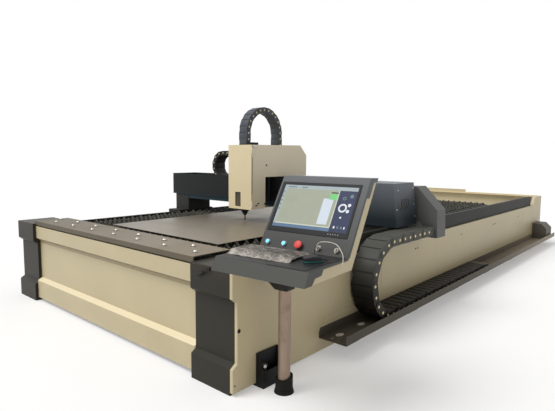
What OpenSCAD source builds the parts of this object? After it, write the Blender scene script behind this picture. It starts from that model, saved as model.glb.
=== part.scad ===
// Gantry laser cutting machine with a slatted table, a ball loading plate and an operator desk.
// Millimetres. Origin on the floor at the middle of the bed, +Y to the rear, +Z up.

/* [Bed] */
// Width over the two front posts
bed_w = 3220; // [3180:5:3300]
// Length of the bed from the front posts to the rear wall
bed_l = 7400; // [7300:10:7600]
// Width of a front post
post_w = 370; // [340:1:400]
// Depth of a front post
post_d = 360; // [345:1:400]
// How far the waist of a post lies behind its face
waist_in = 40; // [20:1:60]
// Height of the plinth at the foot of a post
plinth_h = 168; // [120:1:180]
// Height at which the head of a post starts
bulge_z = 607; // [590:1:640]
// How far the front panel lies behind the posts
panel_in = 28; // [10:1:30]
// Thickness of the folded sheet of the panels
sheet_metal = 3; // [2:0.5:4]
// Depth of a side panel
side_t = 24; // [16:1:30]
// Height of the top of the side panels
side_top = 679; // [670:1:690]
// Height of the rear wall
rear_h = 812; // [800:1:830]
// Width of a side beam
beam_side_w = 200; // [180:1:205]
// Height of the top of the side beams
beam_side_top = 660; // [655:1:664]
// Height of the underside of the side beams
beam_side_low = 100; // [80:1:120]
// Height of the top of the right rail guard
guard_top = 829; // [820:1:835]
// Height of the top of the left rail guard
left_guard = 716; // [700:1:720]

/* [Table] */
// Height of the slat tips
table_h = 770; // [765:1:775]
// Length of the slatted table
table_l = 5490; // [5000:10:5600]
// How far the tops of the front posts lie above the slat tips
post_up = 10; // [0:1:14]
// How far the loading plate lies above the slat tips
plate_up = 38; // [30:1:44]
// Distance between slats
slat_pitch = 110; // [100:1:140]
// Thickness of a slat
slat_t = 5; // [3:0.5:8]
// Height of a slat
slat_h = 80; // [60:1:90]
// Distance between the teeth of a slat
tooth_pitch = 90; // [80:1:110]
// Height of a tooth
tooth_h = 35; // [20:1:45]
// Number of teeth on a slat
tooth_n = 27; // [26:1:27]
// Width of the sheet that lies on the slats
blank_w = 1580; // [1000:10:1600]
// Length of the sheet that lies on the slats
blank_l = 3160; // [2000:10:3200]
// Thickness of the sheet that lies on the slats
blank_t = 3; // [1:0.5:6]
// Thickness of the loading plate
plate_t = 6; // [4:0.5:10]
// Height of the plate's folded front edge
plate_fold = 40; // [28:1:46]
// Distance between the transfer balls in a row
ball_pitch = 355; // [300:1:360]
// Radius of a transfer ball
ball_r = 14; // [10:0.5:16]

/* [Gantry] */
// Distance of the beam from the front of the bed
gantry_in = 1965; // [1900:5:2100]
// Depth of the beam
beam_d = 380; // [360:1:400]
// Height of the beam's box section
beam_h = 200; // [180:1:230]
// Height of the beam's underside
beam_z = 965; // [960:1:985]
// Height of the walls of the channel on the beam
channel_h = 68; // [60:1:72]
// Thickness of a carriage's base plate
base_t = 40; // [30:1:44]
// Radius of the drive pinions on the racks
pinion_r = 30; // [20:1:32]
// Radius of the drive pinion of the head
head_pinion_r = 25; // [18:1:30]

/* [Head] */
// Middle of the head across the bed
head_x = 50; // [0:5:100]
// Width of the head cover
cover_w = 340; // [320:2:380]
// Distance of the cover's door from the beam
cover_out = 370; // [364:1:380]
// Height of the lower edge of the cover
cover_low = 905; // [890:1:925]
// Height of the top of the cover
cover_top = 1578; // [1570:1:1600]
// How far the nozzle tip is above the slat tips
tip_gap = 7; // [5:0.5:12]
// Radius of the head's barrel
barrel_r = 52; // [40:1:54]
// Travel of the head upwards
head_rise = 110; // [60:1:110]

/* [Cable chains] */
// Distance between the pins of the long chain
chain_p = 95; // [90:1:100]
// Bend radius of the long chain
chain_r = 305; // [290:1:310]
// Height of the links of the long chain
chain_h = 80; // [70:1:84]
// Width of the long chain
chain_w = 195; // [160:1:200]
// Bend radius of the chain on the beam
cross_r = 153; // [140:1:160]
// Height of the links of the chain on the beam
cross_h = 50; // [44:1:52]
// Bend radius of the chain above the head
top_r = 250; // [240:1:255]
// Height of the links of the chain above the head
top_h = 60; // [54:1:62]
// Width of the tray for the long chain
tray_w = 240; // [235:1:260]
// Height of the lip of the tray
tray_lip = 68; // [50:1:90]

/* [Desk] */
// Width of the operator desk
desk_w = 617; // [600:1:660]
// Height of the top of the desk's screen slab
desk_top = 1333; // [1320:1:1350]
// Height of the desk's underside
desk_low = 831; // [826:1:836]
// Tilt of the screen slab from upright
desk_tilt = 31.2; // [29:0.1:33]
// Turn of the desk on its tube
desk_turn = 4.7; // [0:0.1:6]
// Thickness of the screen slab, measured level
slab_t = 105; // [95:1:115]
// Thickness of the desk's fascia
fascia_t = 12; // [8:1:14]
// Width of the screen's frame
frame_w = 563; // [540:1:575]
// Height of the screen's frame
frame_h = 343; // [330:1:350]
// Outer diameter of the support tube
tube_d = 78; // [60:1:90]
// Height of the rubber boot on the support tube
boot_h = 110; // [80:1:130]
// Travel of the push buttons
push = 4; // [2:0.5:5]

/* [Hidden] */
$fn = 48;

// Running clearance between pieces that move past each other
gap = 0.3;
// Bed outline
hw = bed_w / 2;
yf = -bed_l / 2;
yr = bed_l / 2;
in_w = hw - post_w;
post_h = table_h + post_up;
// Side panels stand this far off the posts
side_off = 3;
side_out = hw + side_off + side_t;
rear_t = 30;
pillar_l = 590;
// Side beams and what stands on them
bx1 = hw - 20;
bx0 = bx1 - beam_side_w;
by0 = yf + post_d;
by1 = yr - rear_t;
beam_wall = 10;
// Cross tubes, the shelves on them and the slats
cross_z = table_h - 290;
cross_s = 120;
shelf_z = cross_z + cross_s;
shelf_t = 10;
slat_low = table_h - slat_h;
slat_len = tooth_n * tooth_pitch + 30;
comb_t = 20;
comb_in = slat_len / 2 - 5;
comb_top = slat_low + 45;
comb_y0 = by0 + 20;
comb_y1 = comb_y0 + table_l;
slat_y0 = comb_y0 + 30;
slat_n = floor((table_l - 60) / slat_pitch) + 1;
slot_w = slat_t + 2 * gap;
// Slag pans and the rails that carry them
pan_z = 200;
pan_h = 90;
pan_gap = 20;
pan_n = 4;
// Loading plate and its supports
plate_top = table_h + plate_up;
plate_y0 = yf + panel_in - 3;
plate_y1 = plate_y0 + 330;
row_front = plate_y0 + 103;
row_back = plate_y0 + 230;
cup_r = ball_r + 6;
// Rails, racks and guide blocks
rail_w = 45;
rail_h = 30;
rail_x = hw - 110;
rack_w = 25;
rack_x = bx0 + 10;
rail_y0 = by0 + 10;
rail_y1 = by1 - 70;
guard_t = 38;
// Gantry
gy = yf + gantry_in;
gy1 = gy + beam_d;
beam_x0 = -hw;
beam_x1 = hw - 48;
base_top = beam_side_top + rail_h + 34 + base_t;
base_low = base_top - base_t;
base_x0 = bx0 - 50;
base_x1 = hw - 48;
upright_x0 = base_x1 - 262;
arm_x0 = base_x1 - 122;
pinion_x = rack_x - pinion_r - 0.4;
motor_y = gy + 195;
beam_top = beam_z + beam_h;
floor_t = 3;
channel_top = beam_top + channel_h;
cover_x0 = hw - 430;
channel_x1 = cover_x0 - 4;
// Head rails, rack and pinion in the channel
channel_z = beam_top + floor_t;
x_rail_w = 23;
x_rail_h = 22;
x_rail_y = [gy + 22, gy + 250];
x_block = 14;
x_rack_w = 20;
x_rack_y = gy1 - floor_t - x_rack_w;
x_pinion_y = x_rack_y - head_pinion_r - 0.4;
// End cover of the beam
end_top = beam_top + 59;
end_low = guard_top + 3;
end_y0 = gy - 15;
end_y1 = gy1 + 7;
end_out_top = hw + 30;
end_out_low = hw + 73;
end_wall = 4;
// Long chain and its tray
tray_x0 = side_out;
tray_x1 = tray_x0 + tray_w;
tray_z = 122;
tray_t = 3.7;
tray_y0 = yf + 872;
tray_y1 = yr;
chain_x0 = tray_x0 + 18;
chain_low = tray_z + tray_t + gap + chain_h / 2;
chain_high = chain_low + 2 * chain_r;
chain_yc = gy - 350;
arm_y0 = gy1 + 55;
arm_y1 = arm_y0 + 190;
chain_end = arm_y0 - chain_h / 2 - gap;
chain_n = 42;
chain_fix = chain_yc + chain_n * chain_p - PI * chain_r - (chain_end - chain_yc);
// Chain on the beam
cross_p = 56;
cross_w = 100;
cross_y = gy + 175;
cross_low = beam_top + floor_t + gap + cross_h / 2;
cross_high = cross_low + 2 * cross_r;
cross_xc = head_x - 962;
cross_n = 39;
// Head stack, from the beam forwards
car_y1 = gy - 50;
car_y0 = car_y1 - 25;
car_x0 = head_x - 140;
car_x1 = head_x + 140;
car_low = beam_z + 10;
car_top = 1400;
shelf_low = channel_top + 17;
shelf_top = shelf_low + 12;
arm_back = gy1 + 20;
cx0 = head_x - cover_w / 2;
cx1 = head_x + cover_w / 2;
cover_wall = 3;
door_y0 = gy - cover_out;
door_t = 13;
cover_y0 = door_y0 + door_t + 2;
cover_y1 = gy + 545;
cover_cut = gy - 155;
cover_low_back = channel_top + 9;
cross_end = car_x0 - cross_h / 2 - gap;
cross_fix = cross_xc + cross_n * cross_p - PI * cross_r - (cross_end - cross_xc);
z_rail_t = 25;
z_rail_x = 70;
z_y1 = car_y0 - 45;
z_y0 = z_y1 - 20;
screw_r = 8;
screw_y = car_y0 - 22;
z_low = 1000;
z_top = car_top - head_rise - 5;
bracket_t = 12;
// Cutting head
head_y = door_y0 + 78;
tip_z = table_h + tip_gap;
tip_h = 56;
cone_h = 67;
barrel_z = tip_z + tip_h + cone_h;
barrel_h = 60;
body_z = barrel_z + barrel_h;
body_h = 325;
body_top = body_z + body_h;
// Chain above the head
top_p = 65;
top_w = 115;
top_n = 18;
top_y0 = head_y;
top_y1 = head_y + 2 * top_r;
top_zc = cover_top + 131;
lift_top = cover_top - 100;
top_start = lift_top + top_h / 2 + gap;
top_end = top_zc - (top_n * top_p - PI * top_r - (top_zc - top_start));
// Desk
dx0 = side_out + 3;
dx1 = dx0 + desk_w;
tilt = tan(desk_tilt);
fold_z = 905;
fold_y = yf + 239;
slab_y = fold_y + (desk_top - fold_z) * tilt;
desk_edge_y = yf - 149;
desk_edge_z = 905;
desk_toe_y = yf - 188;
desk_slope = atan((fold_z - desk_edge_z) / (fold_y - desk_edge_y));
tube_x = dx0 + 175;
tube_y = fold_y + 31;
tube_top = desk_low - 30;
frame_x = desk_w / 2 - frame_w / 2 - 11;
frame_up = 112;
boot_wall = 20;
// Where the mouse lies on the desk
mouse_at = [520, 193];
mouse_turn = -34;
pad_t = 2;
// Buttons and sockets, across the desk, on the strip under the screen
strip_up = 35;
button_x = [56, 177, 287];
socket_x = [420, 540];
socket_h = 14;
cord_out = gap + socket_h + 6;
collar_r = 17;
button_r = 12;
// Post lever
lever_x = in_w + 194;
lever_z = post_h - 16;
// Anchor holes
anchor_x = side_out + 35;
anchor_y = bed_l / 2 - 300;
anchor_r = 11;

// A point on the fascia: across, up the slope and out from it
function fascia_point(x, u, z) = [dx0 + x, fold_y + u * sin(desk_tilt) - z * cos(desk_tilt),
    fold_z + u * cos(desk_tilt) + z * sin(desk_tilt)];
// A point on the desk: across, back from the edge and up from the surface
function desk_point(x, v, z) = [dx0 + x, desk_edge_y + v * cos(desk_slope) - z * sin(desk_slope),
    desk_edge_z + v * sin(desk_slope) + z * cos(desk_slope)];
// Front and back of the screen slab at a height
function slab_front(z) = fold_y + (z - fold_z) * tilt;
function slab_back(z) = slab_y + slab_t - (desk_top - z) * tilt;
// A smooth line through points, with k steps from each to the next
function spot(p, i) = p[max(0, min(len(p) - 1, i))];
function smooth(p, k) = concat([for (i = [0:len(p) - 2], j = [0:k - 1])
    let (t = j / k, a = spot(p, i - 1), b = p[i], c = p[i + 1], d = spot(p, i + 2))
    0.5 * (2 * b + (c - a) * t + (2 * a - 5 * b + 4 * c - d) * t * t + (3 * b - 3 * c + d - a) * t * t * t)],
    [p[len(p) - 1]]);
// Route of the mouse cord, from the front of the mouse over the desk to the left socket
mouse_way = [-sin(mouse_turn), cos(mouse_turn)];
mouse_end = mouse_at + 58.4 * mouse_way;
mouse_out = mouse_at + 72 * mouse_way;
mouse_route = smooth([desk_point(mouse_end.x, mouse_end.y, 9), desk_point(mouse_out.x, mouse_out.y, 8),
    desk_point(mouse_at.x + 38, mouse_at.y + 80, 4), desk_point(mouse_at.x + 14, mouse_at.y + 97, 2.4),
    desk_point(mouse_at.x - 20, mouse_at.y + 109, 2.4), desk_point(socket_x[0] + 48, mouse_at.y + 121, 3.5),
    desk_point(socket_x[0] + 22, mouse_at.y + 134, 14),
    fascia_point(socket_x[0] + 6, 20, 50), fascia_point(socket_x[0] - 2, strip_up - 2.6, cord_out + 6),
    fascia_point(socket_x[0] - 2, strip_up - 2.6, cord_out)], 3);
// Route of the white cord, from the left socket over the right one and down the desk's side
white_route = smooth([fascia_point(socket_x[0] + 2, strip_up + 2.6, cord_out),
    fascia_point(socket_x[0] + 2, strip_up + 2.6, cord_out + 6), fascia_point(socket_x[0] + 20, strip_up + 18,
        47),
    fascia_point(socket_x[0] + 54, strip_up + 26, 52), fascia_point(socket_x[0] + 88, strip_up + 28, 51),
    fascia_point(socket_x[0] + 122, strip_up + 24, 50), fascia_point(socket_x[0] + 152, strip_up + 8, 52),
    fascia_point(desk_w - 22, 20, 54), fascia_point(desk_w - 4, -1, 58), fascia_point(desk_w + 5, -26, 56),
    fascia_point(desk_w + 5.5, -56, 46)], 2);

// A box from one corner to the other
module block(a, b) {
    translate(a) cube(b - a);
}

// An outline in Y and Z, drawn out along X
module along_x(x0, x1) {
    translate([x0, 0, 0]) rotate([90, 0, 90]) linear_extrude(x1 - x0) children();
}

// An outline in X and Z, drawn out along Y
module along_y(y0, y1) {
    translate([0, y1, 0]) rotate([90, 0, 0]) linear_extrude(y1 - y0) children();
}

// The same piece on both sides of the bed
module both_sides() {
    children();
    mirror([1, 0, 0]) children();
}

// A square tube along X
module tube_x_way(x0, x1, y, z, w, h, wall) {
    difference() {
        block([x0, y, z], [x1, y + w, z + h]);
        block([x0 - 1, y + wall, z + wall], [x1 + 1, y + w - wall, z + h - wall]);
    }
}

// The post's outline: plinth, waist and head
function post_face(y) = [[y, 0], [y, plinth_h], [y + waist_in, plinth_h + 27],
    [y + waist_in, bulge_z - 31], [y, bulge_z]];

// Places the desk's strip: X across, Y up the slope, Z out of the fascia
module on_fascia() {
    translate([dx0, fold_y, fold_z]) rotate([90 - desk_tilt, 0, 0]) children();
}

// Turns the desk on its tube
module turned() {
    translate([tube_x, tube_y, 0]) rotate([0, 0, desk_turn]) translate([-tube_x, -tube_y, 0]) children();
}

// Places things on the desk top: X across, Y towards the fascia, Z up from the surface
module on_desk() {
    translate([dx0, desk_edge_y, desk_edge_z]) rotate([desk_slope, 0, 0]) children();
}

// Cable chain: points along a run, a half turn and a second run
function bend_point(s, run, r) =
    s < run ? [run - s, 0]
    : s < run + PI * r ? [-r * sin((s - run) / r * 180 / PI), r - r * cos((s - run) / r * 180 / PI)]
    : [s - run - PI * r, 2 * r];

function link_outline(len, h) = concat(
    [for (a = [90:30:270]) [h / 2 * cos(a), h / 2 * sin(a)]],
    [for (a = [-90:30:90]) [len + h / 2 * cos(a), h / 2 * sin(a)]]);

// One link: two side plates, an inner and an outer lid and, on the outer links, the pin heads
module chain_link(len, h, w, t, bar, inner) {
    face = w / 2 - inner * (t + gap);
    for (s = [-1, 1])
        translate([0, 0, s * (face - t / 2) - t / 2]) linear_extrude(t) polygon(link_outline(len, h));
    for (s = [[-1, 0.8], [1, 0.97]])
        translate([len * (1 - s[1]) / 2, s[0] * (h / 2 - bar / 2) - bar / 2, -face + t / 2])
            cube([len * s[1], bar, 2 * face - t]);
    if (inner == 0)
        for (s = [-1, 1], x = [0, len])
            translate([x, 0, s * (face + 1)]) cylinder(h = 3, r = 6 + h / 16, center = true, $fn = 20);
}

// A chain in its own plane, with the first run along the X axis and the bend at X < 0
module cable_chain(n, p, run, r, h, w, t, bar) {
    for (i = [0:n - 1]) {
        a = bend_point(i * p, run, r);
        b = bend_point((i + 1) * p, run, r);
        translate([a.x, a.y, 0]) rotate([0, 0, atan2(b.y - a.y, b.x - a.x)])
            chain_link(norm(b - a), h, w, t, bar, i % 2);
    }
}

// Tube swept along a cord's route, as rings of eight points set out from one side direction
function unit(v) = v / norm(v);
function way(p, i) = unit(p[min(i + 1, len(p) - 1)] - p[max(i - 1, 0)]);
module cord(p, r) {
    m = 8;
    n = len(p);
    aside = [1, 0.9, -0.45];
    rings = [for (i = [0:n - 1]) let (d = way(p, i), u = unit(cross(d, aside)), v = cross(d, u))
        for (k = [0:m - 1]) p[i] + r * (cos(k * 360 / m) * u + sin(k * 360 / m) * v)];
    walls = [for (i = [0:n - 2], k = [0:m - 1]) let (a = i * m + k, b = i * m + (k + 1) % m)
        each [[a, b, b + m], [a, b + m, a + m]]];
    polyhedron(rings, concat(walls, [[for (k = [m - 1:-1:0]) k]],
        [[for (k = [0:m - 1]) (n - 1) * m + k]]), convexity = 6);
}

// Long box beams that carry the rails, with the blocks that hold the right side panels
module side_beams() {
    color([0.30, 0.30, 0.28]) {
        both_sides() difference() {
            block([bx0, by0, beam_side_low], [bx1, by1, beam_side_top]);
            block([bx0 + beam_wall, by0 - 1, beam_side_low + beam_wall],
                [bx1 - beam_wall, by1 + 1, beam_side_top - beam_wall]);
        }
        for (y = [by0 + 180, tray_y0 + 820, tray_y0 + 1040, -0.04 * bed_l, 0.135 * bed_l, 0.3 * bed_l,
            by1 - 670],
            z = [300, 560])
            block([bx1 - 1, y, z], [side_out - sheet_metal, y + 60, z + 60]);
    }
}

// Tubes across the bed, and the two that carry the loading plate
module cross_tubes() {
    color([0.28, 0.28, 0.27]) {
        for (y = [by0 + 440:1000:by1 - 300])
            tube_x_way(-bx0, bx0, y, cross_z, cross_s, cross_s, 8);
        for (y = [plate_y0 + 10, plate_y1 - 65])
            tube_x_way(-in_w, in_w, y, plate_top - plate_t - 40, 60, 40, 4);
    }
}

// Shelves for the slat combs and angles for the slag pans
module ledges() {
    color([0.27, 0.27, 0.26]) both_sides() {
        block([comb_in - comb_t - 10, by0 + 10, shelf_z], [bx0, comb_y1 + 10, shelf_z + shelf_t]);
        block([bx0 - 60, by0 + 10, pan_z - 10], [bx0, comb_y1 + 10, pan_z]);
        block([bx0 - 8, by0 + 10, pan_z - 60], [bx0, comb_y1 + 10, pan_z - 9]);
    }
}

// Notched bars that hold the slats upright
function comb_outline(z0) = concat(
    [[comb_y0, z0], [comb_y0, comb_top]],
    [for (i = [0:slat_n - 1]) let (y = slat_y0 + i * slat_pitch)
        each [[y - slot_w / 2, comb_top], [y - slot_w / 2, slat_low],
            [y + slot_w / 2, slat_low], [y + slot_w / 2, comb_top]]],
    [[comb_y1, comb_top], [comb_y1, z0]]);
module slat_combs() {
    color([0.24, 0.25, 0.24]) {
        both_sides() along_x(comb_in - comb_t, comb_in) polygon(comb_outline(shelf_z + shelf_t));
        along_x(-comb_t / 2, comb_t / 2) polygon(comb_outline(shelf_z));
    }
}

// Toothed slats, one outline repeated down the bed
function slat_outline() = concat(
    [[-slat_len / 2, slat_low], [-slat_len / 2, table_h - tooth_h]],
    [for (i = [0:tooth_n - 1]) let (x = -slat_len / 2 + 15 + i * tooth_pitch)
        each [[x, table_h - tooth_h], [x + tooth_pitch / 2, table_h]]],
    [[slat_len / 2 - 15, table_h - tooth_h], [slat_len / 2, table_h - tooth_h],
        [slat_len / 2, slat_low]]);
module slats() {
    color([0.19, 0.21, 0.20])
        for (i = [0:slat_n - 1])
            along_y(slat_y0 + i * slat_pitch - slat_t / 2, slat_y0 + i * slat_pitch + slat_t / 2)
                polygon(slat_outline());
}

// Shallow pans under the slats
module slag_pans() {
    span = (comb_y1 - comb_y0) / pan_n;
    s = sheet_metal;
    color([0.22, 0.21, 0.20])
        for (i = [0:pan_n - 1]) {
            y0 = comb_y0 + i * span;
            y1 = y0 + span - pan_gap;
            difference() {
                block([-bx0 + 5, y0, pan_z], [bx0 - 5, y1, pan_z + pan_h]);
                block([-bx0 + 5 + s, y0 + s, pan_z + s], [bx0 - 5 - s, y1 - s, pan_z + pan_h + 1]);
            }
        }
}

// Folded front panel with a plinth below and a lip above
module front_panel() {
    y = yf + panel_in;
    s = sheet_metal;
    top = plate_top - 53;
    lip = top - 119;
    outer = [[y, 33], [y, 205], [y + waist_in, 233], [y + waist_in, lip - 26],
        [y, lip], [y, top], [y + 60, top]];
    inner = [[y + 60, top - s], [y + s, top - s], [y + s, lip + 1],
        [y + waist_in + s, lip - 25], [y + waist_in + s, 232], [y + s, 204], [y + s, 33]];
    color([0.76, 0.70, 0.56]) along_x(-in_w, in_w) polygon(concat(outer, inner));
}

// Dark corner posts with plinth, waist and head
module front_posts() {
    outline = concat(post_face(yf), [[yf, post_h - 6], [yf + 6, post_h], [by0, post_h], [by0, 0]]);
    color([0.21, 0.21, 0.20]) both_sides() along_x(in_w, hw) polygon(outline);
}

// A pan-shaped side panel: an outer sheet with folded edges, from an outline and its inset
module folded_panel(outline, inset) {
    difference() {
        along_x(hw + side_off, side_out) polygon(outline);
        along_x(hw + side_off - 1, side_out - sheet_metal) polygon(inset);
    }
}

// First right panel: its front edge follows the post
seam_y = yf + 1790;
module right_front_panel() {
    s = sheet_metal;
    lip = 6;
    outline = concat([[yf, 20]], [for (q = post_face(yf)) if (q.y > 20) q],
        [[yf, post_h], [yf + 150, post_h], [yf + 250, side_top], [seam_y - 2, side_top], [seam_y - 2, 20]]);
    inset = [[yf + lip, 20 + s], [yf + lip, plinth_h + 2], [yf + waist_in + lip, plinth_h + 29],
        [yf + waist_in + lip, bulge_z - 33], [yf + lip, bulge_z - 2], [yf + lip, post_h - s],
        [yf + 149, post_h - s], [yf + 249, side_top - s], [seam_y - 2 - s, side_top - s],
            [seam_y - 2 - s, 20 + s]];
    color([0.66, 0.61, 0.48]) difference() {
        folded_panel(outline, inset);
        for (p = [[yf + 56, 397], [yf + 19, 65], [seam_y - 40, 640], [seam_y - 40, 60]])
            translate([side_out - 10, p.x, p.y]) rotate([0, 90, 0]) cylinder(h = 20, r = 6, $fn = 24);
    }
}

// Second right panel, up to the rear pillar
module right_rear_panel() {
    s = sheet_metal;
    y0 = seam_y + 2;
    y1 = yr - pillar_l - 3;
    color([0.64, 0.59, 0.46]) difference() {
        folded_panel([[y0, 20], [y0, side_top], [y1, side_top], [y1, 20]],
            [[y0 + s, 20 + s], [y0 + s, side_top - s], [y1 - s, side_top - s], [y1 - s, 20 + s]]);
        for (p = [[yf + 0.495 * bed_l, 567], [yf + 0.658 * bed_l, 567], [yf + 0.812 * bed_l, 567],
            [y0 + 40, 640],
            [y0 + 40, 60]])
            translate([side_out - 10, p.x, p.y]) rotate([0, 90, 0]) cylinder(h = 20, r = 6, $fn = 24);
    }
}

// Left side panels, flush with the post
module left_panels() {
    s = sheet_metal;
    color([0.66, 0.61, 0.48])
        for (r = [[by0 + 1, seam_y - 2], [seam_y + 2, yr - pillar_l - 3]])
            difference() {
                block([-hw, r[0], 20], [-bx1, r[1], beam_side_top - 3]);
                block([-hw + s, r[0] + s, 20 + s], [-bx1 + 1, r[1] - s, beam_side_top - 3 - s]);
            }
}

// Cream pillars at the rear corners
module rear_pillars() {
    color([0.74, 0.69, 0.56]) {
        for (x = [[bx1 + 2, side_out], [-hw, -bx1 - 2]])
            along_x(x[0], x[1]) polygon([[yr - pillar_l, 20], [yr - pillar_l, side_top],
                [yr - pillar_l + 66, side_top + 7], [yr - pillar_l + 180, rear_h - 1], [yr, rear_h - 1],
                    [yr, 20]]);
    }
}

// Rear wall with a shelf inside and a raised left part
module rear_panel() {
    color([0.76, 0.71, 0.58]) {
        block([-bx1 - 2, by1, 33], [bx1 + 2, yr, rear_h]);
        block([-bx1 - 2, by1, rear_h - 1], [0.2 * hw, yr, rear_h + 46]);
        block([-bx1 - 2, by1 - 70, rear_h - 24], [bx1 + 2, by1 + 1, rear_h - 20]);
    }
}

// Loading plate with a folded front edge and a hole for each ball unit
function ball_at(i) = [-110 + (i - 3) * ball_pitch, row_back];
function ball_front(i) = [-110 + (i - 2.5) * ball_pitch, row_front];
module at_balls() {
    for (i = [0:6]) {
        translate(concat(ball_at(i), [plate_top])) children();
        translate(concat(ball_front(i), [plate_top])) children();
    }
}
module loading_plate() {
    color([0.50, 0.46, 0.41]) difference() {
        union() {
            block([-in_w + 1, plate_y0, plate_top - plate_t], [in_w - 1, plate_y1, plate_top]);
            block([-in_w + 1, plate_y0, plate_top - plate_fold], [in_w - 1, plate_y0 + plate_t, plate_top]);
        }
        at_balls() cylinder(h = 3 * plate_t, r = cup_r + gap, center = true);
        for (p = [[in_w - 30, row_front - 60], [in_w - 30, row_back + 60], [-in_w + 30, row_front - 60]])
            translate([p.x, p.y, plate_top]) cylinder(h = 3 * plate_t, r = 7, center = true);
    }
}

// Cups that hold the transfer balls
module ball_cups() {
    color([0.60, 0.58, 0.55]) at_balls() difference() {
        union() {
            translate([0, 0, -ball_r - 9]) cylinder(h = ball_r + 9.5, r = cup_r);
            cylinder(h = 3, r = cup_r + 4);
        }
        sphere(r = ball_r + gap);
    }
}

// Transfer balls
module balls() {
    color([0.85, 0.84, 0.82]) at_balls() sphere(r = ball_r);
}

// Sheet that lies on the slats
module sheet_blank() {
    x1 = in_w - 351;
    y0 = plate_y1 + 195;
    color([0.48, 0.45, 0.41]) block([x1 - blank_w, y0, table_h], [x1, y0 + blank_l, table_h + blank_t]);
}

// Guide rails and toothed racks on the side beams
module rails() {
    color([0.62, 0.61, 0.58]) both_sides() {
        difference() {
            block([rail_x - rail_w / 2, rail_y0, beam_side_top],
                [rail_x + rail_w / 2, rail_y1, beam_side_top + rail_h]);
            for (s = [-1, 1])
                translate([rail_x + s * rail_w / 2, rail_y0 - 1, beam_side_top + rail_h * 0.6])
                    rotate([-90, 0, 0]) cylinder(h = rail_y1 - rail_y0 + 2, r = 5, $fn = 4);
        }
        block([rack_x, rail_y0, beam_side_top], [rack_x + rack_w, rail_y1, beam_side_top + rail_h]);
    }
}

// Dark guards along the outer side of the rails
module rail_guard(top) {
    difference() {
        block([hw - guard_t, rail_y0, beam_side_top], [hw, yr - pillar_l - 5, top]);
        block([hw - guard_t + 4, rail_y0 - 1, beam_side_top + 4], [hw - 4, yr - pillar_l, top - 4]);
    }
}
module rail_guards() {
    color([0.17, 0.17, 0.16]) {
        rail_guard(guard_top);
        mirror([1, 0, 0]) rail_guard(left_guard);
    }
}

// Tray beside the bed that the long chain lies in, with feet and the fixed end's anchor
module chain_tray() {
    wall = 3;
    color([0.33, 0.32, 0.29]) {
        difference() {
            union() {
                block([tray_x0, tray_y0, tray_z], [tray_x1, tray_y1, tray_z + tray_t]);
                block([tray_x1 - wall, tray_y0, tray_z], [tray_x1, tray_y1, tray_z + tray_lip]);
                along_x(tray_x0, tray_x0 + wall)
                    polygon([[tray_y0, tray_z], [tray_y0, tray_z + 50], [tray_y0 + 70, tray_z + 140],
                        [tray_y1, tray_z + 140], [tray_y1, tray_z]]);
            }
            for (y = [tray_y0 + 60:90:tray_y0 + 340], x = [tray_x0 + 80, tray_x0 + 165])
                translate([x, y, tray_z - 1]) {
                    translate([-6, -20, 0]) cube([12, 40, 10]);
                    for (s = [-20, 20]) translate([0, s, 0]) cylinder(h = 10, r = 6);
                }
        }
        for (y = [tray_y0 + 250:1050:tray_y1 - 560])
            difference() {
                block([tray_x0, y, 0], [tray_x0 + 82, y + 200, tray_z]);
                block([tray_x0 + 6, y + 6, 6], [tray_x0 + 83, y + 194, tray_z - 6]);
            }
        block([chain_x0 + 10, chain_fix + chain_h / 2 + gap, tray_z + 1],
            [chain_x0 + chain_w - 10, chain_fix + chain_h / 2 + 90, chain_low + chain_h / 2 - 12]);
    }
}

// Box over the cables at the rear end of the tray, with a slanted outer edge
module cable_box() {
    x0 = tray_x0 + 6;
    x1 = tray_x1 - 26;
    z0 = tray_z + tray_t;
    color([0.20, 0.20, 0.19]) along_y(yr - 500, yr - 150)
        polygon([[x0, z0], [x0, 375], [x1 - 80, 375], [x1, 296], [x1, z0]]);
}

// Brackets at the four corners, with a hole for a floor anchor
module anchor_brackets() {
    wall = 6;
    x0 = anchor_x - 32;
    x1 = anchor_x + 33;
    color([0.10, 0.10, 0.10]) both_sides() for (s = [[-1, 216, hw], [1, 104, bx1 - 90]]) {
        y0 = s[0] * anchor_y - 100;
        y1 = s[0] * anchor_y + 100;
        low = min(s[1], 110);
        difference() {
            block([s[2], y0, 0], [x1, y1, 18]);
            translate([anchor_x, s[0] * anchor_y, -1]) cylinder(h = 20, r = anchor_r);
        }
        if (s[2] < bx1)
            block([bx1 - 30, y0 + 20, 17], [bx1 - 10, y1 - 20, beam_side_low]);
        block([x0, y0, 17], [x0 + wall, y1, s[1]]);
        block([x1 - wall, y0, 17], [x1, y1, low]);
        for (y = [y0, y1 - wall])
            along_y(y, y + wall) polygon([[x0, 17], [x0, s[1]], [x0 + 14, s[1]], [x1, low], [x1, 17]]);
    }
}

// Adjustable feet under the side beams and the levelling bolts in the brackets
module levelling_feet() {
    x = (bx0 + bx1) / 2 - 20;
    color([0.55, 0.54, 0.50]) {
        for (s = [-1, 1], y = [by0 + 500, 0, by1 - 500]) translate([s * x, y, 0]) {
            cylinder(h = 22, r = 70);
            cylinder(h = beam_side_low, r = 22);
            translate([0, 0, beam_side_low - 30]) cylinder(h = 18, r = 40, $fn = 6);
        }
        for (s = [-1, 1]) translate([s * anchor_x, -anchor_y - 55, 18]) {
            cylinder(h = 120, r = 12);
            translate([0, 0, 0]) cylinder(h = 20, r = 21, $fn = 6);
            translate([0, 0, 106]) cylinder(h = 18, r = 19, $fn = 6);
        }
    }
}

// Long cable chain: lower run in the tray, half turn at the front, upper run to the gantry
module y_chain() {
    color([0.26, 0.26, 0.25]) translate([chain_x0 + chain_w / 2, chain_yc, chain_low])
        rotate([90, 0, 90])
            cable_chain(chain_n, chain_p, chain_fix - chain_yc, chain_r, chain_h, chain_w, 8, 7);
}

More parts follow.
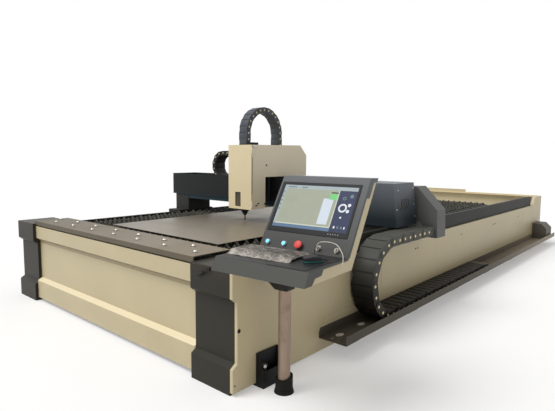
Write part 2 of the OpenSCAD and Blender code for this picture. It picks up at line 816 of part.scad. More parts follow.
// Post that holds the desk
module support_tube() {
    color([0.57, 0.49, 0.42]) translate([tube_x, tube_y, 0]) difference() {
        cylinder(h = tube_top, r = tube_d / 2);
        translate([0, 0, 12]) cylinder(h = tube_top, r = tube_d / 2 - 4);
    }
}

// Rubber boot at the foot of the tube, cut on a slant at the top
module tube_boot() {
    r = tube_d / 2;
    color([0.12, 0.12, 0.11]) translate([tube_x, tube_y, 0]) difference() {
        union() {
            cylinder(h = boot_h, r = r + boot_wall - 4);
            cylinder(h = 24, r1 = r + boot_wall + 4, r2 = r + boot_wall - 2);
        }
        translate([0, 0, -1]) cylinder(h = boot_h + 2, r = r + gap);
        translate([0, 0, boot_h - 12]) rotate([14, 0, 0]) translate([-100, -100, 0]) cube([200, 200, 100]);
    }
}

// Dark bracket that spreads from the tube to the desk
module desk_bracket() {
    r = tube_d / 2;
    color([0.16, 0.16, 0.16]) turned() difference() {
        along_y(tube_y - r - 6, tube_y + 28)
            polygon([[tube_x - r - 7, tube_top - 12], [tube_x + r + 7, tube_top - 12],
                [tube_x + r + 18, desk_low - 6],
                [tube_x + r + 18, desk_low], [tube_x - r - 40, desk_low], [tube_x - r - 40, desk_low - 6]]);
        translate([tube_x, tube_y, tube_top - 100]) cylinder(h = 100, r = r + gap);
    }
}

// Dark fascia: cap, screen slab, desk top and slanted front edge in one folded piece, with side cheeks
cheek_t = 6;
cap_z = desk_top - 26;
step_z = cap_z - 88;
lip_y = desk_toe_y + 68;
module console_fascia() {
    t = fascia_t;
    hyp = t / cos(desk_tilt);
    outer = [[slab_back(cap_z), cap_z], [slab_back(desk_top), desk_top], [slab_y, desk_top], [fold_y, fold_z],
        [desk_edge_y, desk_edge_z], [desk_toe_y, desk_low], [lip_y, desk_low]];
    inner = [[lip_y, desk_low + t], [desk_toe_y + t * 1.5, desk_low + t],
        [desk_edge_y + t * 0.6, desk_edge_z - t], [fold_y + t * 0.6, fold_z - t],
        [slab_front(desk_top - t) + hyp, desk_top - t], [slab_back(desk_top - t) - hyp, desk_top - t],
        [slab_back(cap_z) - hyp, cap_z]];
    low_cheek = [[desk_toe_y, desk_low], [desk_edge_y, desk_edge_z], [fold_y - 244, fold_z],
        [fold_y - 249, fold_z - 8],
        [fold_y - 272, fold_z - 40], [fold_y - 330, fold_z - 43], [lip_y, desk_low]];
    mid_cheek = [[fold_y, fold_z], [slab_front(step_z), step_z], [slab_front(step_z) + 24, step_z],
        [fold_y + 24, fold_z]];
    top_cheek = [[slab_front(step_z), step_z], [slab_y, desk_top], [slab_back(desk_top), desk_top],
        [slab_back(cap_z), cap_z], [slab_front(cap_z) + 62, cap_z], [slab_front(step_z) + 62, step_z]];
    color([0.28, 0.27, 0.27]) turned() difference() {
        union() {
            along_x(dx0, dx1) polygon(concat(outer, inner));
            for (x = [dx0, dx1 - cheek_t], q = [low_cheek, mid_cheek, top_cheek])
                along_x(x, x + cheek_t) polygon(q);
        }
        on_fascia() {
            translate([frame_x, frame_up, -60]) cube([frame_w, frame_h, 100]);
            for (x = concat(button_x, socket_x)) translate([x, strip_up, -60]) cylinder(h = 100,
                r = 11 + gap);
        }
    }
}

// Cream shell behind and under the fascia, open at the front, with two hinge tabs at the back
module console_shell() {
    t = fascia_t;
    hyp = t / cos(desk_tilt) + gap;
    w = 4;
    x0 = dx0 + cheek_t + gap;
    x1 = dx1 - cheek_t - gap;
    y0 = lip_y + gap;
    top = cap_z - gap;
    under = desk_edge_z - t - gap + (y0 - desk_edge_y - t * 0.65) * tan(desk_slope);
    outer = [[y0, desk_low], [slab_back(desk_low), desk_low], [slab_back(top), top],
        [slab_front(top) + hyp, top],
        [fold_y + t * 0.6 + gap, fold_z - t - gap], [y0, under]];
    inner = [[y0 + w, desk_low + w], [slab_back(desk_low + w) - w, desk_low + w],
        [slab_back(top - w) - w, top - w],
        [slab_front(top) - 60, top - w], [fold_y - 60, fold_z - t - gap], [y0 + w, fold_z]];
    color([0.70, 0.66, 0.54]) turned() {
        difference() {
            along_x(x0, x1) polygon(outer);
            along_x(x0 + w, x1 - w) polygon(inner);
        }
        for (z = [fold_z + 16, fold_z + 127])
            block([x1 - 30, slab_back(z) - 8, z - 9], [x1 - 4, slab_back(z) + 7, z + 9]);
    }
}

// Monitor set into the fascia, with a frame round the glass
module monitor() {
    color([0.10, 0.10, 0.11]) turned() on_fascia() translate([frame_x, frame_up, 0]) difference() {
        translate([gap, gap, -34]) cube([frame_w - 2 * gap, frame_h - 2 * gap, 38]);
        translate([25, 31, 2.5]) cube([frame_w - 40, frame_h - 51, 5]);
    }
}

// Keyboard on the desk, with six rows of keys
module keyboard() {
    color([0.12, 0.12, 0.13]) turned() on_desk() translate([14, 132, gap]) {
        cube([408, 158, 16]);
        for (r = [0:5], k = [0:15])
            translate([8 + k * 24.6, 10 + r * 23.4, 15]) cube([21, 20, 7]);
    }
}

// Mouse and its pad: a dome cut by a rounded outline, on a thin mat cut out for the keyboard
module mouse() {
    color([0.11, 0.11, 0.12]) turned() on_desk() {
        difference() {
            translate([352, 6, gap]) cube([240, 250, pad_t]);
            translate([350, 129, -1]) cube([76, 130, pad_t + 5]);
        }
        translate([mouse_at.x, mouse_at.y, 2 * gap + pad_t]) rotate([0, 0, mouse_turn]) intersection() {
            linear_extrude(40) union() {
                translate([-30, -28]) square([60, 56]);
                for (s = [-1, 1]) translate([0, s * 28]) circle(r = 30);
            }
            translate([0, -8, -62]) sphere(r = 100, $fn = 64);
        }
    }
}

// Collars of the buttons and the two round sockets
module panel_fittings() {
    color([0.72, 0.71, 0.69]) turned() on_fascia() {
        for (x = button_x) translate([x, strip_up, 0]) difference() {
            union() {
                translate([0, 0, -fascia_t - 14]) cylinder(h = fascia_t + 15, r = 11);
                translate([0, 0, gap]) cylinder(h = 5, r = collar_r);
            }
            translate([0, 0, -fascia_t - 15]) cylinder(h = 60, r = 9);
        }
        for (x = socket_x) translate([x, strip_up, 0]) {
            translate([0, 0, -fascia_t - 14]) cylinder(h = fascia_t + 15, r = 11);
            translate([0, 0, gap]) cylinder(h = 4, r = 17);
            translate([0, 0, gap]) cylinder(h = socket_h, r = 13);
            translate([0, 0, gap + socket_h - 1]) cylinder(h = 7, r1 = 9, r2 = 5);
        }
    }
}

// A lit push button: its stem runs in the collar
module push_button(i) {
    turned() on_fascia() translate([button_x[i], strip_up, 0]) {
        translate([0, 0, -fascia_t - 8]) cylinder(h = fascia_t + 14, r = 9 - gap);
        translate([0, 0, 5 + gap + push + 0.5]) cylinder(h = 5, r = button_r);
        translate([0, 0, 0]) cylinder(h = 7 + push, r = 9 - gap);
    }
}
module left_button() {
    color([0.35, 0.70, 0.90]) push_button(0);
}
module middle_button() {
    color([0.35, 0.70, 0.90]) push_button(1);
}

// Red mushroom stop button
module stop_button() {
    color([0.88, 0.28, 0.25]) turned() on_fascia() translate([button_x[2], strip_up, 0]) {
        translate([0, 0, -fascia_t - 8]) cylinder(h = fascia_t + 16 + push, r = 9 - gap);
        translate([0, 0, 5 + gap + push + 0.5]) intersection() {
            cylinder(h = 20, r1 = 16, r2 = 25);
            translate([0, 0, -17]) sphere(r = 37);
        }
    }
}

// Lever on the right post, at rest pointing down to the left
module post_lever() {
    color([0.15, 0.15, 0.15]) translate([lever_x, yf - gap, lever_z]) rotate([90, 0, 0]) {
        cylinder(h = 18, r = 13);
        rotate([0, 0, 209.5]) {
            translate([0, -5, 6]) cube([100, 10, 8]);
            translate([60, 0, 10]) rotate([0, 90, 0]) cylinder(h = 56, r = 9);
        }
    }
}

module mouse_cord() {
    color([0.10, 0.10, 0.10]) turned() cord(mouse_route, 1.8);
}
module white_cord() {
    color([0.92, 0.91, 0.88]) turned() cord(white_route, 1.8);
}

// Box section across the bed
module gantry_beam() {
    wall = 10;
    color([0.17, 0.19, 0.20]) difference() {
        block([beam_x0, gy, beam_z], [beam_x1, gy1, beam_top]);
        block([beam_x0 + wall, gy + wall, beam_z + wall], [beam_x1 - wall, gy1 - wall, beam_top - wall]);
    }
}

// Open channel on top of the beam: floor, three walls and the anchor of the chain that lies in it
module beam_channel() {
    s = floor_t;
    seam = 0.2;
    color([0.15, 0.17, 0.18]) {
        block([beam_x0 + s + seam, gy + s + seam, beam_top], [channel_x1, gy1 - s - seam, channel_z]);
        block([beam_x0 + s + seam, gy, beam_top], [channel_x1, gy + s, channel_top]);
        block([beam_x0 + s + seam, gy1 - s, beam_top], [channel_x1, gy1, channel_top]);
        block([beam_x0, gy, beam_top], [beam_x0 + s, gy1, channel_top]);
        block([cross_fix + cross_h / 2 + gap, cross_y - 40, channel_z + seam],
            [cross_fix + cross_h / 2 + 60, cross_y + 40, cross_low + cross_h / 2 - 6]);
    }
}

// Head rails and rack on the floor of the channel
module beam_rails() {
    x0 = beam_x0 + 50;
    x1 = cover_x0 - 30;
    color([0.64, 0.63, 0.60]) {
        for (y = x_rail_y)
            block([x0, y, channel_z], [x1, y + x_rail_w, channel_z + x_rail_h]);
        block([x0, x_rack_y, channel_z], [x1, x_rack_y + x_rack_w, channel_z + 25]);
    }
}

// Carriages: base plate, upright under the beam and two guide blocks on each rail
module carriages() {
    color([0.16, 0.17, 0.17]) both_sides() {
        difference() {
            union() {
                block([base_x0, gy - 112, base_low], [base_x1, gy1 + 74, base_top]);
                for (y = [gy - 72, gy1 - 68])
                    block([rail_x - 50, y, beam_side_top + 4], [rail_x + 50, y + 140, base_low + 1]);
            }
            block([rail_x - rail_w / 2 - 0.5, gy - 120, beam_side_top],
                [rail_x + rail_w / 2 + 0.5, gy1 + 80, beam_side_top + rail_h + 0.5]);
            translate([pinion_x, motor_y, base_low - 1]) cylinder(h = base_t + 2, r = 14);
        }
        difference() {
            block([upright_x0, gy + 10, base_top - 1], [base_x1, gy1 - 10, beam_z]);
            block([upright_x0 + 12, gy + 22, base_top - 2], [base_x1 - 12, gy1 - 22, beam_z + 1]);
        }
    }
}

// Gear motors that stand on the base plates
module drive_motors() {
    color([0.13, 0.13, 0.14]) both_sides() translate([pinion_x, motor_y, base_top]) {
        translate([-48, -48, 0]) cube([70, 96, 86]);
        translate([-42, -42, 85]) cube([64, 84, beam_z - base_top - 97]);
        cylinder(h = 20, r = 20);
    }
}

// Cover over the right end of the beam, wider at the foot, with slanted slots
module end_cover() {
    w = end_wall;
    color([0.15, 0.15, 0.15]) difference() {
        along_y(end_y0, end_y1)
            polygon([[cover_x0, end_low], [cover_x0, end_top], [end_out_top, end_top],
                [end_out_low, end_low]]);
        along_y(end_y0 + w, end_y1 - w)
            polygon([[cover_x0 + w, end_low - 30], [cover_x0 + w, end_top - w],
                [end_out_top - w, end_top - w],
                [end_out_low - w, end_low], [end_out_low - w, end_low - 30]]);
        block([cover_x0 - 1, gy - gap, end_low - 1], [cover_x0 + w + 1, gy1 + gap, beam_top + gap]);
        block([arm_x0 - gap, gy1, beam_z + 10 - gap], [base_x1 - 10 + gap, end_y1 + 1, beam_top - 10 + gap]);
        for (i = [0:4])
            translate([end_out_top - 20, end_y0 + 90 + i * 34, beam_z + 20]) rotate([-28, 0, 0]) cube([80, 12,
                110]);
    }
}

// Arm behind the cover that pulls the long chain, with a sloping outer side
module chain_arm() {
    color([0.14, 0.14, 0.14]) {
        along_y(arm_y0, arm_y1)
            polygon([[arm_x0, guard_top + 21], [arm_x0, beam_top + 11], [hw + 47, beam_top + 17],
                [hw + 252, beam_z],
                [chain_x0 + chain_w + 20, chain_high - 70], [hw + 154, chain_high - 70],
                    [hw + 90, guard_top + 21]]);
        block([arm_x0, gy1, beam_z + 10], [base_x1 - 10, arm_y0 + 1, beam_top - 10]);
    }
}

// Drive pinions on vertical shafts
module drive_pinion() {
    translate([pinion_x, motor_y, beam_side_top + 4]) cylinder(h = rail_h - 4, r = pinion_r);
    translate([pinion_x, motor_y,
        beam_side_top + rail_h - 1]) cylinder(h = base_top - beam_side_top - rail_h + 1 - gap, r = 11);
}
module left_pinion() {
    color([0.55, 0.53, 0.50]) mirror([1, 0, 0]) drive_pinion();
}
module right_pinion() {
    color([0.55, 0.53, 0.50]) drive_pinion();
}

// Chain on the beam: lower run in the channel, half turn on the left, upper run to the head
module x_chain() {
    color([0.24, 0.24, 0.24]) translate([cross_xc, cross_y, cross_low]) rotate([90, 0, 0])
        cable_chain(cross_n, cross_p, cross_fix - cross_xc, cross_r, cross_h, cross_w, 5, 4.5);
}

// Carriage of the head: plate with guide blocks, shelf over the beam, brackets and upright rails
module head_carriage() {
    color([0.38, 0.39, 0.39]) difference() {
        union() {
            block([car_x0, car_y0, car_low], [car_x1, car_y1, car_top]);
            for (y = x_rail_y, x = [head_x - 120, head_x + 40])
                block([x, y - x_block, channel_z + 6], [x + 80, y + x_rail_w + x_block, shelf_low + 1]);
            block([cx0 + cover_wall, car_y1 - 1, shelf_low], [cx1 - cover_wall, arm_back, shelf_top]);
            block([car_x0, cross_y - 55, shelf_top - 1],
                [car_x0 + 6, cross_y + 55, cross_high + cross_h / 2]);
            block([head_x - 50, top_y1 - 30, shelf_top - 1],
                [head_x + 50, top_y1 + 30, top_end - top_h / 2 - gap]);
            block([head_x - 60, car_y0 - 54, car_top - 1], [head_x + 60, car_y1, car_top + bracket_t]);
            block([head_x - 22, car_y0 - 44, z_low - 20], [head_x + 22, car_y0 + 1, z_low - gap]);
            for (s = [-1, 1])
                block([head_x + s * z_rail_x - 10, car_y0 - z_rail_t, z_low - 15],
                    [head_x + s * z_rail_x + 10, car_y0 + 1, car_top - 5]);
        }
        for (y = x_rail_y)
            block([head_x - 200, y - 0.5, channel_z],
                [head_x + 200, y + x_rail_w + 0.5, channel_z + x_rail_h + 0.5]);
        translate([head_x, screw_y, car_top - 5]) cylinder(h = 30, r = screw_r + 2);
        translate([head_x, x_pinion_y, shelf_low - 1]) cylinder(h = 20, r = 12);
    }
}

// Cream head cover: side walls that reach back over the beam, top and slanted rear edge
module head_cover() {
    w = cover_wall;
    top_back = cover_top + 10;
    outer = [[cover_y0, cover_low], [cover_y0, cover_top], [cover_y1 - 114, top_back],
        [cover_y1, top_back - 112],
        [cover_y1, cover_low_back], [cover_cut, cover_low_back], [cover_cut, cover_low + 5]];
    inner = [[cover_y0 - 100, cover_low - 100], [cover_y0 - 100, cover_top - w - 1],
        [cover_y1 - 115, top_back - w],
        [cover_y1 - w, top_back - 113], [cover_y1 - w, cover_low - 100]];
    color([0.80, 0.75, 0.62]) {
        difference() {
            along_x(cx0, cx1) polygon(outer);
            along_x(cx0 + w, cx1 - w) polygon(inner);
            for (y = [top_y0, top_y1])
                block([head_x - top_w / 2 - 8, y - top_h / 2 - 10, cover_top - 20],
                    [head_x + top_w / 2 + 8, y + top_h / 2 + 10, cover_top + 40]);
            block([cx0 - 1, cross_y - cross_w / 2 - 10, cross_high - cross_h / 2 - 14],
                [cx0 + w + 1, cross_y + cross_w / 2 + 10, cross_high + cross_h / 2 + 14]);
        }
        for (z = [cover_low + 25, cover_top - 90]) {
            block([cx1, door_y0 + 5, z], [cx1 + 6, door_y0 + 50, z + 30]);
            block([cx1 - 1, cover_y0 + 2, z], [cx1 + 6, door_y0 + 50, z + 30]);
            translate([cx1 + 7, door_y0 + 5, z]) cylinder(h = 30, r = 6);
        }
    }
}

// Hinged front of the head cover, with a window slot
module head_door() {
    color([0.85, 0.79, 0.65]) difference() {
        union() {
            block([cx0, door_y0, cover_low], [cx1 - gap, door_y0 + door_t, cover_top]);
            for (z = [cover_low + 25, cover_top - 90]) {
                translate([cx1 + 7, door_y0 + 5, z + 30 + gap]) cylinder(h = 30, r = 6);
                block([cx1 - 30, door_y0 - 2, z + 30 + gap], [cx1 + 7, door_y0 + 1, z + 60 + gap]);
            }
        }
        block([cx0 + 3, door_y0 + 3, cover_low - 1], [cx1 - 3 - gap, door_y0 + door_t + 1, cover_top - 3]);
        block([cx0 + 103, door_y0 - 1, cover_low + 29], [cx0 + 184, door_y0 + 5, cover_low + 179]);
    }
}

// Motor of the head drive on the shelf and motor of the lift on its bracket
module head_motors() {
    color([0.14, 0.14, 0.15]) {
        translate([head_x, x_pinion_y, shelf_top]) {
            translate([-40, -35, 0]) cube([80, 76, 70]);
            translate([-34, -32, 69]) cube([68, 66, 90]);
        }
        translate([head_x, screw_y, car_top + bracket_t]) {
            translate([-32, -32, 0]) cube([64, 64, 40]);
            translate([-29, -29, 39]) cube([58, 58, 88]);
        }
    }
}

// Lift screw, coupled to the lift
module z_screw() {
    color([0.66, 0.65, 0.62]) translate([head_x, screw_y, z_low])
        cylinder(h = car_top + bracket_t - gap - z_low, r = screw_r);
}

// Pinion of the head drive
module x_pinion() {
    color([0.55, 0.53, 0.50]) translate([head_x, x_pinion_y, beam_top + floor_t + 2]) {
        cylinder(h = 21, r = head_pinion_r);
        cylinder(h = shelf_top - beam_top - floor_t - 2 - gap, r = 9);
    }
}

// Lift plate with its guide blocks, nut and the clamps of the cutting head
module z_slide() {
    color([0.42, 0.43, 0.43]) difference() {
        union() {
            block([head_x - 110, z_y0, z_low], [head_x + 110, z_y1, z_top]);
            for (s = [-1, 1], z = [z_low + 25, z_top - 85])
                block([head_x + s * z_rail_x - 25, z_y1 - 1, z],
                    [head_x + s * z_rail_x + 25, car_y0 - 5, z + 60]);
            block([head_x - 22, z_y1 - 1, z_low + 120], [head_x + 22, car_y0 - 3, z_low + 170]);
            for (z = [z_low + 20, z_top - 85])
                block([head_x - 40, head_y + 55, z], [head_x + 40, z_y0 + 1, z + 40]);
        }
        for (s = [-1, 1])
            block([head_x + s * z_rail_x - 10.5, car_y0 - z_rail_t - 0.5, z_low - 1],
                [head_x + s * z_rail_x + 10.5, car_y0, z_top + 1]);
        translate([head_x, screw_y, z_low - 1]) cylinder(h = 400, r = screw_r + gap);
    }
}

// Cutting head: body, barrel, fibre plug and the arm that carries the upper chain
module cutting_head() {
    color([0.12, 0.12, 0.13]) {
        translate([head_x, head_y, barrel_z]) cylinder(h = barrel_h + 1, r = barrel_r);
        block([head_x - 50, head_y - 55, body_z], [head_x + 50, head_y + 55, body_top]);
        translate([head_x, head_y - 24, body_top - 1]) cylinder(h = 61, r = 20);
        block([head_x - 30, head_y + 20, body_top - 1], [head_x + 30, head_y + 34, lift_top]);
        block([head_x - 50, head_y - 28, lift_top - 8], [head_x + 50, head_y + 34, lift_top]);
    }
}

// Black cone and copper tip, in one revolved piece
module nozzle() {
    color([0.10, 0.10, 0.10]) translate([head_x, head_y, tip_z]) rotate_extrude()
        polygon([[1.5, 0], [3, 0], [8, 12], [8, tip_h], [16, tip_h + 2], [20, tip_h + 18], [27, tip_h + 20],
            [30, tip_h + 34], [barrel_r - 3, tip_h + cone_h - 14], [barrel_r - 1, tip_h + cone_h],
            [1.5, tip_h + cone_h]]);
}

// Arched chain that brings the cables to the lift
module z_chain() {
    color([0.25, 0.25, 0.25]) translate([head_x, head_y + top_r, top_zc]) rotate([90, 0, 90])
        rotate([0, 0, -90]) translate([0, -top_r, 0])
            cable_chain(top_n, top_p, top_zc - top_start, top_r, top_h, top_w, 5, 4.5);
}

side_beams();
cross_tubes();
ledges();
slat_combs();
slats();
slag_pans();
front_panel();
front_posts();
right_front_panel();
right_rear_panel();
left_panels();
rear_pillars();
rear_panel();
loading_plate();
ball_cups();
balls();
sheet_blank();
rails();
rail_guards();
chain_tray();
cable_box();
anchor_brackets();
levelling_feet();
y_chain();
support_tube();
tube_boot();
desk_bracket();
console_fascia();
console_shell();
monitor();
keyboard();
mouse();
panel_fittings();
left_button();
middle_button();
stop_button();
post_lever();
mouse_cord();
white_cord();
gantry_beam();
beam_channel();
beam_rails();
carriages();
drive_motors();
end_cover();
chain_arm();
left_pinion();
right_pinion();
x_chain();
head_carriage();
head_cover();
head_door();
head_motors();
z_screw();
x_pinion();
z_slide();
cutting_head();
nozzle();
z_chain();
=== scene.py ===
import math

import bmesh
import bpy
from mathutils import Matrix, Vector, noise


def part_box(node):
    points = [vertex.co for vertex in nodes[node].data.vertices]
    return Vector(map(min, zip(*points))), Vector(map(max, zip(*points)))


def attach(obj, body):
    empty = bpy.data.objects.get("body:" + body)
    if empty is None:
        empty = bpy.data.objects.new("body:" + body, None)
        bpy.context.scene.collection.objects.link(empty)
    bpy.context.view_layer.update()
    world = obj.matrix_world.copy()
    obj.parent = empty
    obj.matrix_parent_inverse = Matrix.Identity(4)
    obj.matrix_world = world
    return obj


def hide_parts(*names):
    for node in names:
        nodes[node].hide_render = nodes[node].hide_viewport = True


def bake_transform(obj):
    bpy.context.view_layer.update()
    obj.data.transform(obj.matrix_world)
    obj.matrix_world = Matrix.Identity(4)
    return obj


noise.seed_set(5)
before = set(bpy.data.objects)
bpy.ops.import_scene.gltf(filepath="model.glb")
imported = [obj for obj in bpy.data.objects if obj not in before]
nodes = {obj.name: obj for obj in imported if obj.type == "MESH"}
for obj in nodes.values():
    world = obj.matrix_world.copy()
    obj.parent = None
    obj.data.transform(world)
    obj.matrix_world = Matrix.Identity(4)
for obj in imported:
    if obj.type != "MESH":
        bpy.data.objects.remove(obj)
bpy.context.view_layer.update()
print("frame loaded,", len(nodes), "solids")


# camera at the photograph's place
cameraSpec = {"place": (3.6475, -5.5847, 1.4541), "yaw": 41.435, "pitch": 5.709, "roll": 0.394,
              "focal": 473.94, "centre": (276.93, 204.41), "image": (555, 411), "sensor": 36, "reach": 200}


def makeCamera(spec):
    yaw, pitch, roll = (math.radians(spec[k]) for k in ("yaw", "pitch", "roll"))
    ahead = Vector((-math.sin(yaw) * math.cos(pitch),
                    math.cos(yaw) * math.cos(pitch), -math.sin(pitch)))
    level = Vector((math.cos(yaw), math.sin(yaw), 0))
    upright = level.cross(ahead)
    right = math.cos(roll) * level + math.sin(roll) * upright
    up = math.cos(roll) * upright - math.sin(roll) * level
    wide, high = spec["image"]
    lens = bpy.data.cameras.new("photoCamera")
    lens.sensor_fit = "HORIZONTAL"
    lens.sensor_width = spec["sensor"]
    lens.lens = spec["focal"] * spec["sensor"] / wide
    lens.shift_x = (wide / 2 - spec["centre"][0]) / wide
    lens.shift_y = (spec["centre"][1] - high / 2) / wide
    lens.clip_end = spec["reach"]
    holder = bpy.data.objects.new("photoCamera", lens)
    bpy.context.scene.collection.objects.link(holder)
    turn = Matrix((right, up, -ahead)).transposed().to_4x4()
    holder.matrix_world = Matrix.Translation(spec["place"]) @ turn
    bpy.context.scene.camera = holder


makeCamera(cameraSpec)
print("camera set")


# shader writing: a wire carries a socket, a finish makes the nodes
class Wire:
    def __init__(self, finish, socket):
        self.finish, self.socket = finish, socket

    def __add__(self, other):
        return self.finish.maths("ADD", self, other)

    def __sub__(self, other):
        return self.finish.maths("SUBTRACT", self, other)

    def __rsub__(self, other):
        return self.finish.maths("SUBTRACT", other, self)

    def __mul__(self, other):
        return self.finish.maths("MULTIPLY", self, other)

    def __gt__(self, other):
        return self.finish.maths("GREATER_THAN", self, other)

    def __lt__(self, other):
        return self.finish.maths("LESS_THAN", self, other)

    __radd__ = __add__
    __rmul__ = __mul__


class Finish:
    def __init__(self, name, **fixed):
        self.material = bpy.data.materials.new(name)
        self.material.use_nodes = True
        self.tree = self.material.node_tree
        self.shader = self.tree.nodes["Principled BSDF"]
        self.place = self.node("ShaderNodeTexCoord", out="Object")
        for socket, value in fixed.items():
            self.shader.inputs[socket.replace("_", " ")].default_value = value

    def join(self, socket, value):
        if isinstance(value, Wire):
            self.tree.links.new(value.socket, socket)
        else:
            socket.default_value = value

    def node(self, kind, out=0, settings=None, sockets=None):
        made = self.tree.nodes.new(kind)
        for key, value in (settings or {}).items():
            setattr(made, key, value)
        for key, value in (sockets or {}).items():
            self.join(made.inputs[key], value)
        return Wire(self, made.outputs[out])

    def maths(self, operation, first, second):
        return self.node("ShaderNodeMath", settings={"operation": operation},
                         sockets={0: first, 1: second})

    def noise(self, scale, detail=3.0, stretch=None):
        place = self.place
        if stretch:
            place = self.node("ShaderNodeMapping", sockets={"Vector": place, "Scale": stretch})
        return self.node("ShaderNodeTexNoise",
                         sockets={"Vector": place, "Scale": scale, "Detail": detail})

    def cells(self, scale):
        return self.node("ShaderNodeTexVoronoi", out="Distance",
                         sockets={"Vector": self.place, "Scale": scale})

    def axis(self, letter):
        return self.node("ShaderNodeSeparateXYZ", out="XYZ".index(letter), sockets={0: self.place})

    def ramp(self, value, low, high):
        return self.node("ShaderNodeMapRange", settings={"clamp": True},
                         sockets={"Value": value, "From Min": low, "From Max": high})

    def blendTone(self, mask, first, second):
        return self.node("ShaderNodeMix", out=2, settings={"data_type": "RGBA"},
                         sockets={0: mask, 6: first, 7: second})

    def baseTone(self):
        return Wire(self, self.shader.inputs["Base Color"].links[0].from_socket)

    def relief(self, height, strength, distance=0.001):
        bump = self.node("ShaderNodeBump",
                         sockets={"Height": height, "Strength": strength, "Distance": distance})
        self.feed("Normal", bump)

    def feed(self, socket, value):
        self.join(self.shader.inputs[socket], value)


def tone(red, green, blue):
    def straight(c):
        c = c / 255
        return c / 12.92 if c < 0.04 else ((c + 0.055) / 1.055) ** 2.4
    return (straight(red), straight(green), straight(blue), 1.0)


def shade(colour, factor):
    return tuple(c * factor for c in colour[:3]) + (1.0,)


paintGrain = 260.0
paintRelief = 0.0006


# painted sheet: mottled tone, fine grain, dust that gathers low down
def paintFinish(name, colour, rough=0.42, dust=0.12, gloss=0.35):
    f = Finish(name, Specular_IOR_Level=gloss)
    cloud = f.noise(1.7, 5.0)
    speck = f.noise(paintGrain, 2.0)
    streak = f.noise(5.0, 4.0, (1.0, 1.0, 0.12))
    tint = f.blendTone(f.ramp(cloud, 0.3, 0.75), shade(colour, 0.93), shade(colour, 1.05))
    tint = f.blendTone(f.ramp(streak, 0.55, 0.9) * 0.35, tint, shade(colour, 0.86))
    low = (1 - f.ramp(f.axis("Z"), 0.0, 0.35)) * f.ramp(f.noise(9.0, 5.0), 0.35, 0.8) * dust
    tint = f.blendTone(low, tint, shade(colour, 0.55))
    f.feed("Base Color", tint)
    f.feed("Roughness", rough + (cloud - 0.5) * 0.16 + (speck - 0.5) * 0.08)
    f.relief(speck, 0.12, paintRelief)
    return f


# bare metal: fine drawn lines along one way, stains and scratches
def metalFinish(name, colour, rough, lines, stain=0.25, metal=0.9):
    f = Finish(name, Metallic=metal)
    drawn = f.noise(14.0, 4.0, lines)
    blot = f.noise(3.2, 6.0)
    tint = f.blendTone(f.ramp(blot, 0.42, 0.72) * stain, colour, shade(colour, 0.6))
    tint = f.blendTone(f.ramp(drawn, 0.45, 0.75) * 0.3, tint, shade(colour, 1.25))
    f.feed("Base Color", tint)
    f.feed("Roughness", rough + (drawn - 0.5) * 0.22 + (blot - 0.5) * 0.2)
    f.relief(drawn, 0.08, 0.0004)
    return f


# moulded plastic: shallow cell grain
def plasticFinish(name, colour, rough=0.45, grain=420.0, depth=0.18, gloss=0.15):
    f = Finish(name, Specular_IOR_Level=gloss)
    pits = f.cells(grain)
    cloud = f.noise(6.0, 4.0)
    f.feed("Base Color", f.blendTone(f.ramp(cloud, 0.3, 0.75), shade(colour, 0.9), shade(colour, 1.08)))
    f.feed("Roughness", rough + (cloud - 0.5) * 0.18)
    f.relief(pits, depth, 0.0005)
    return f


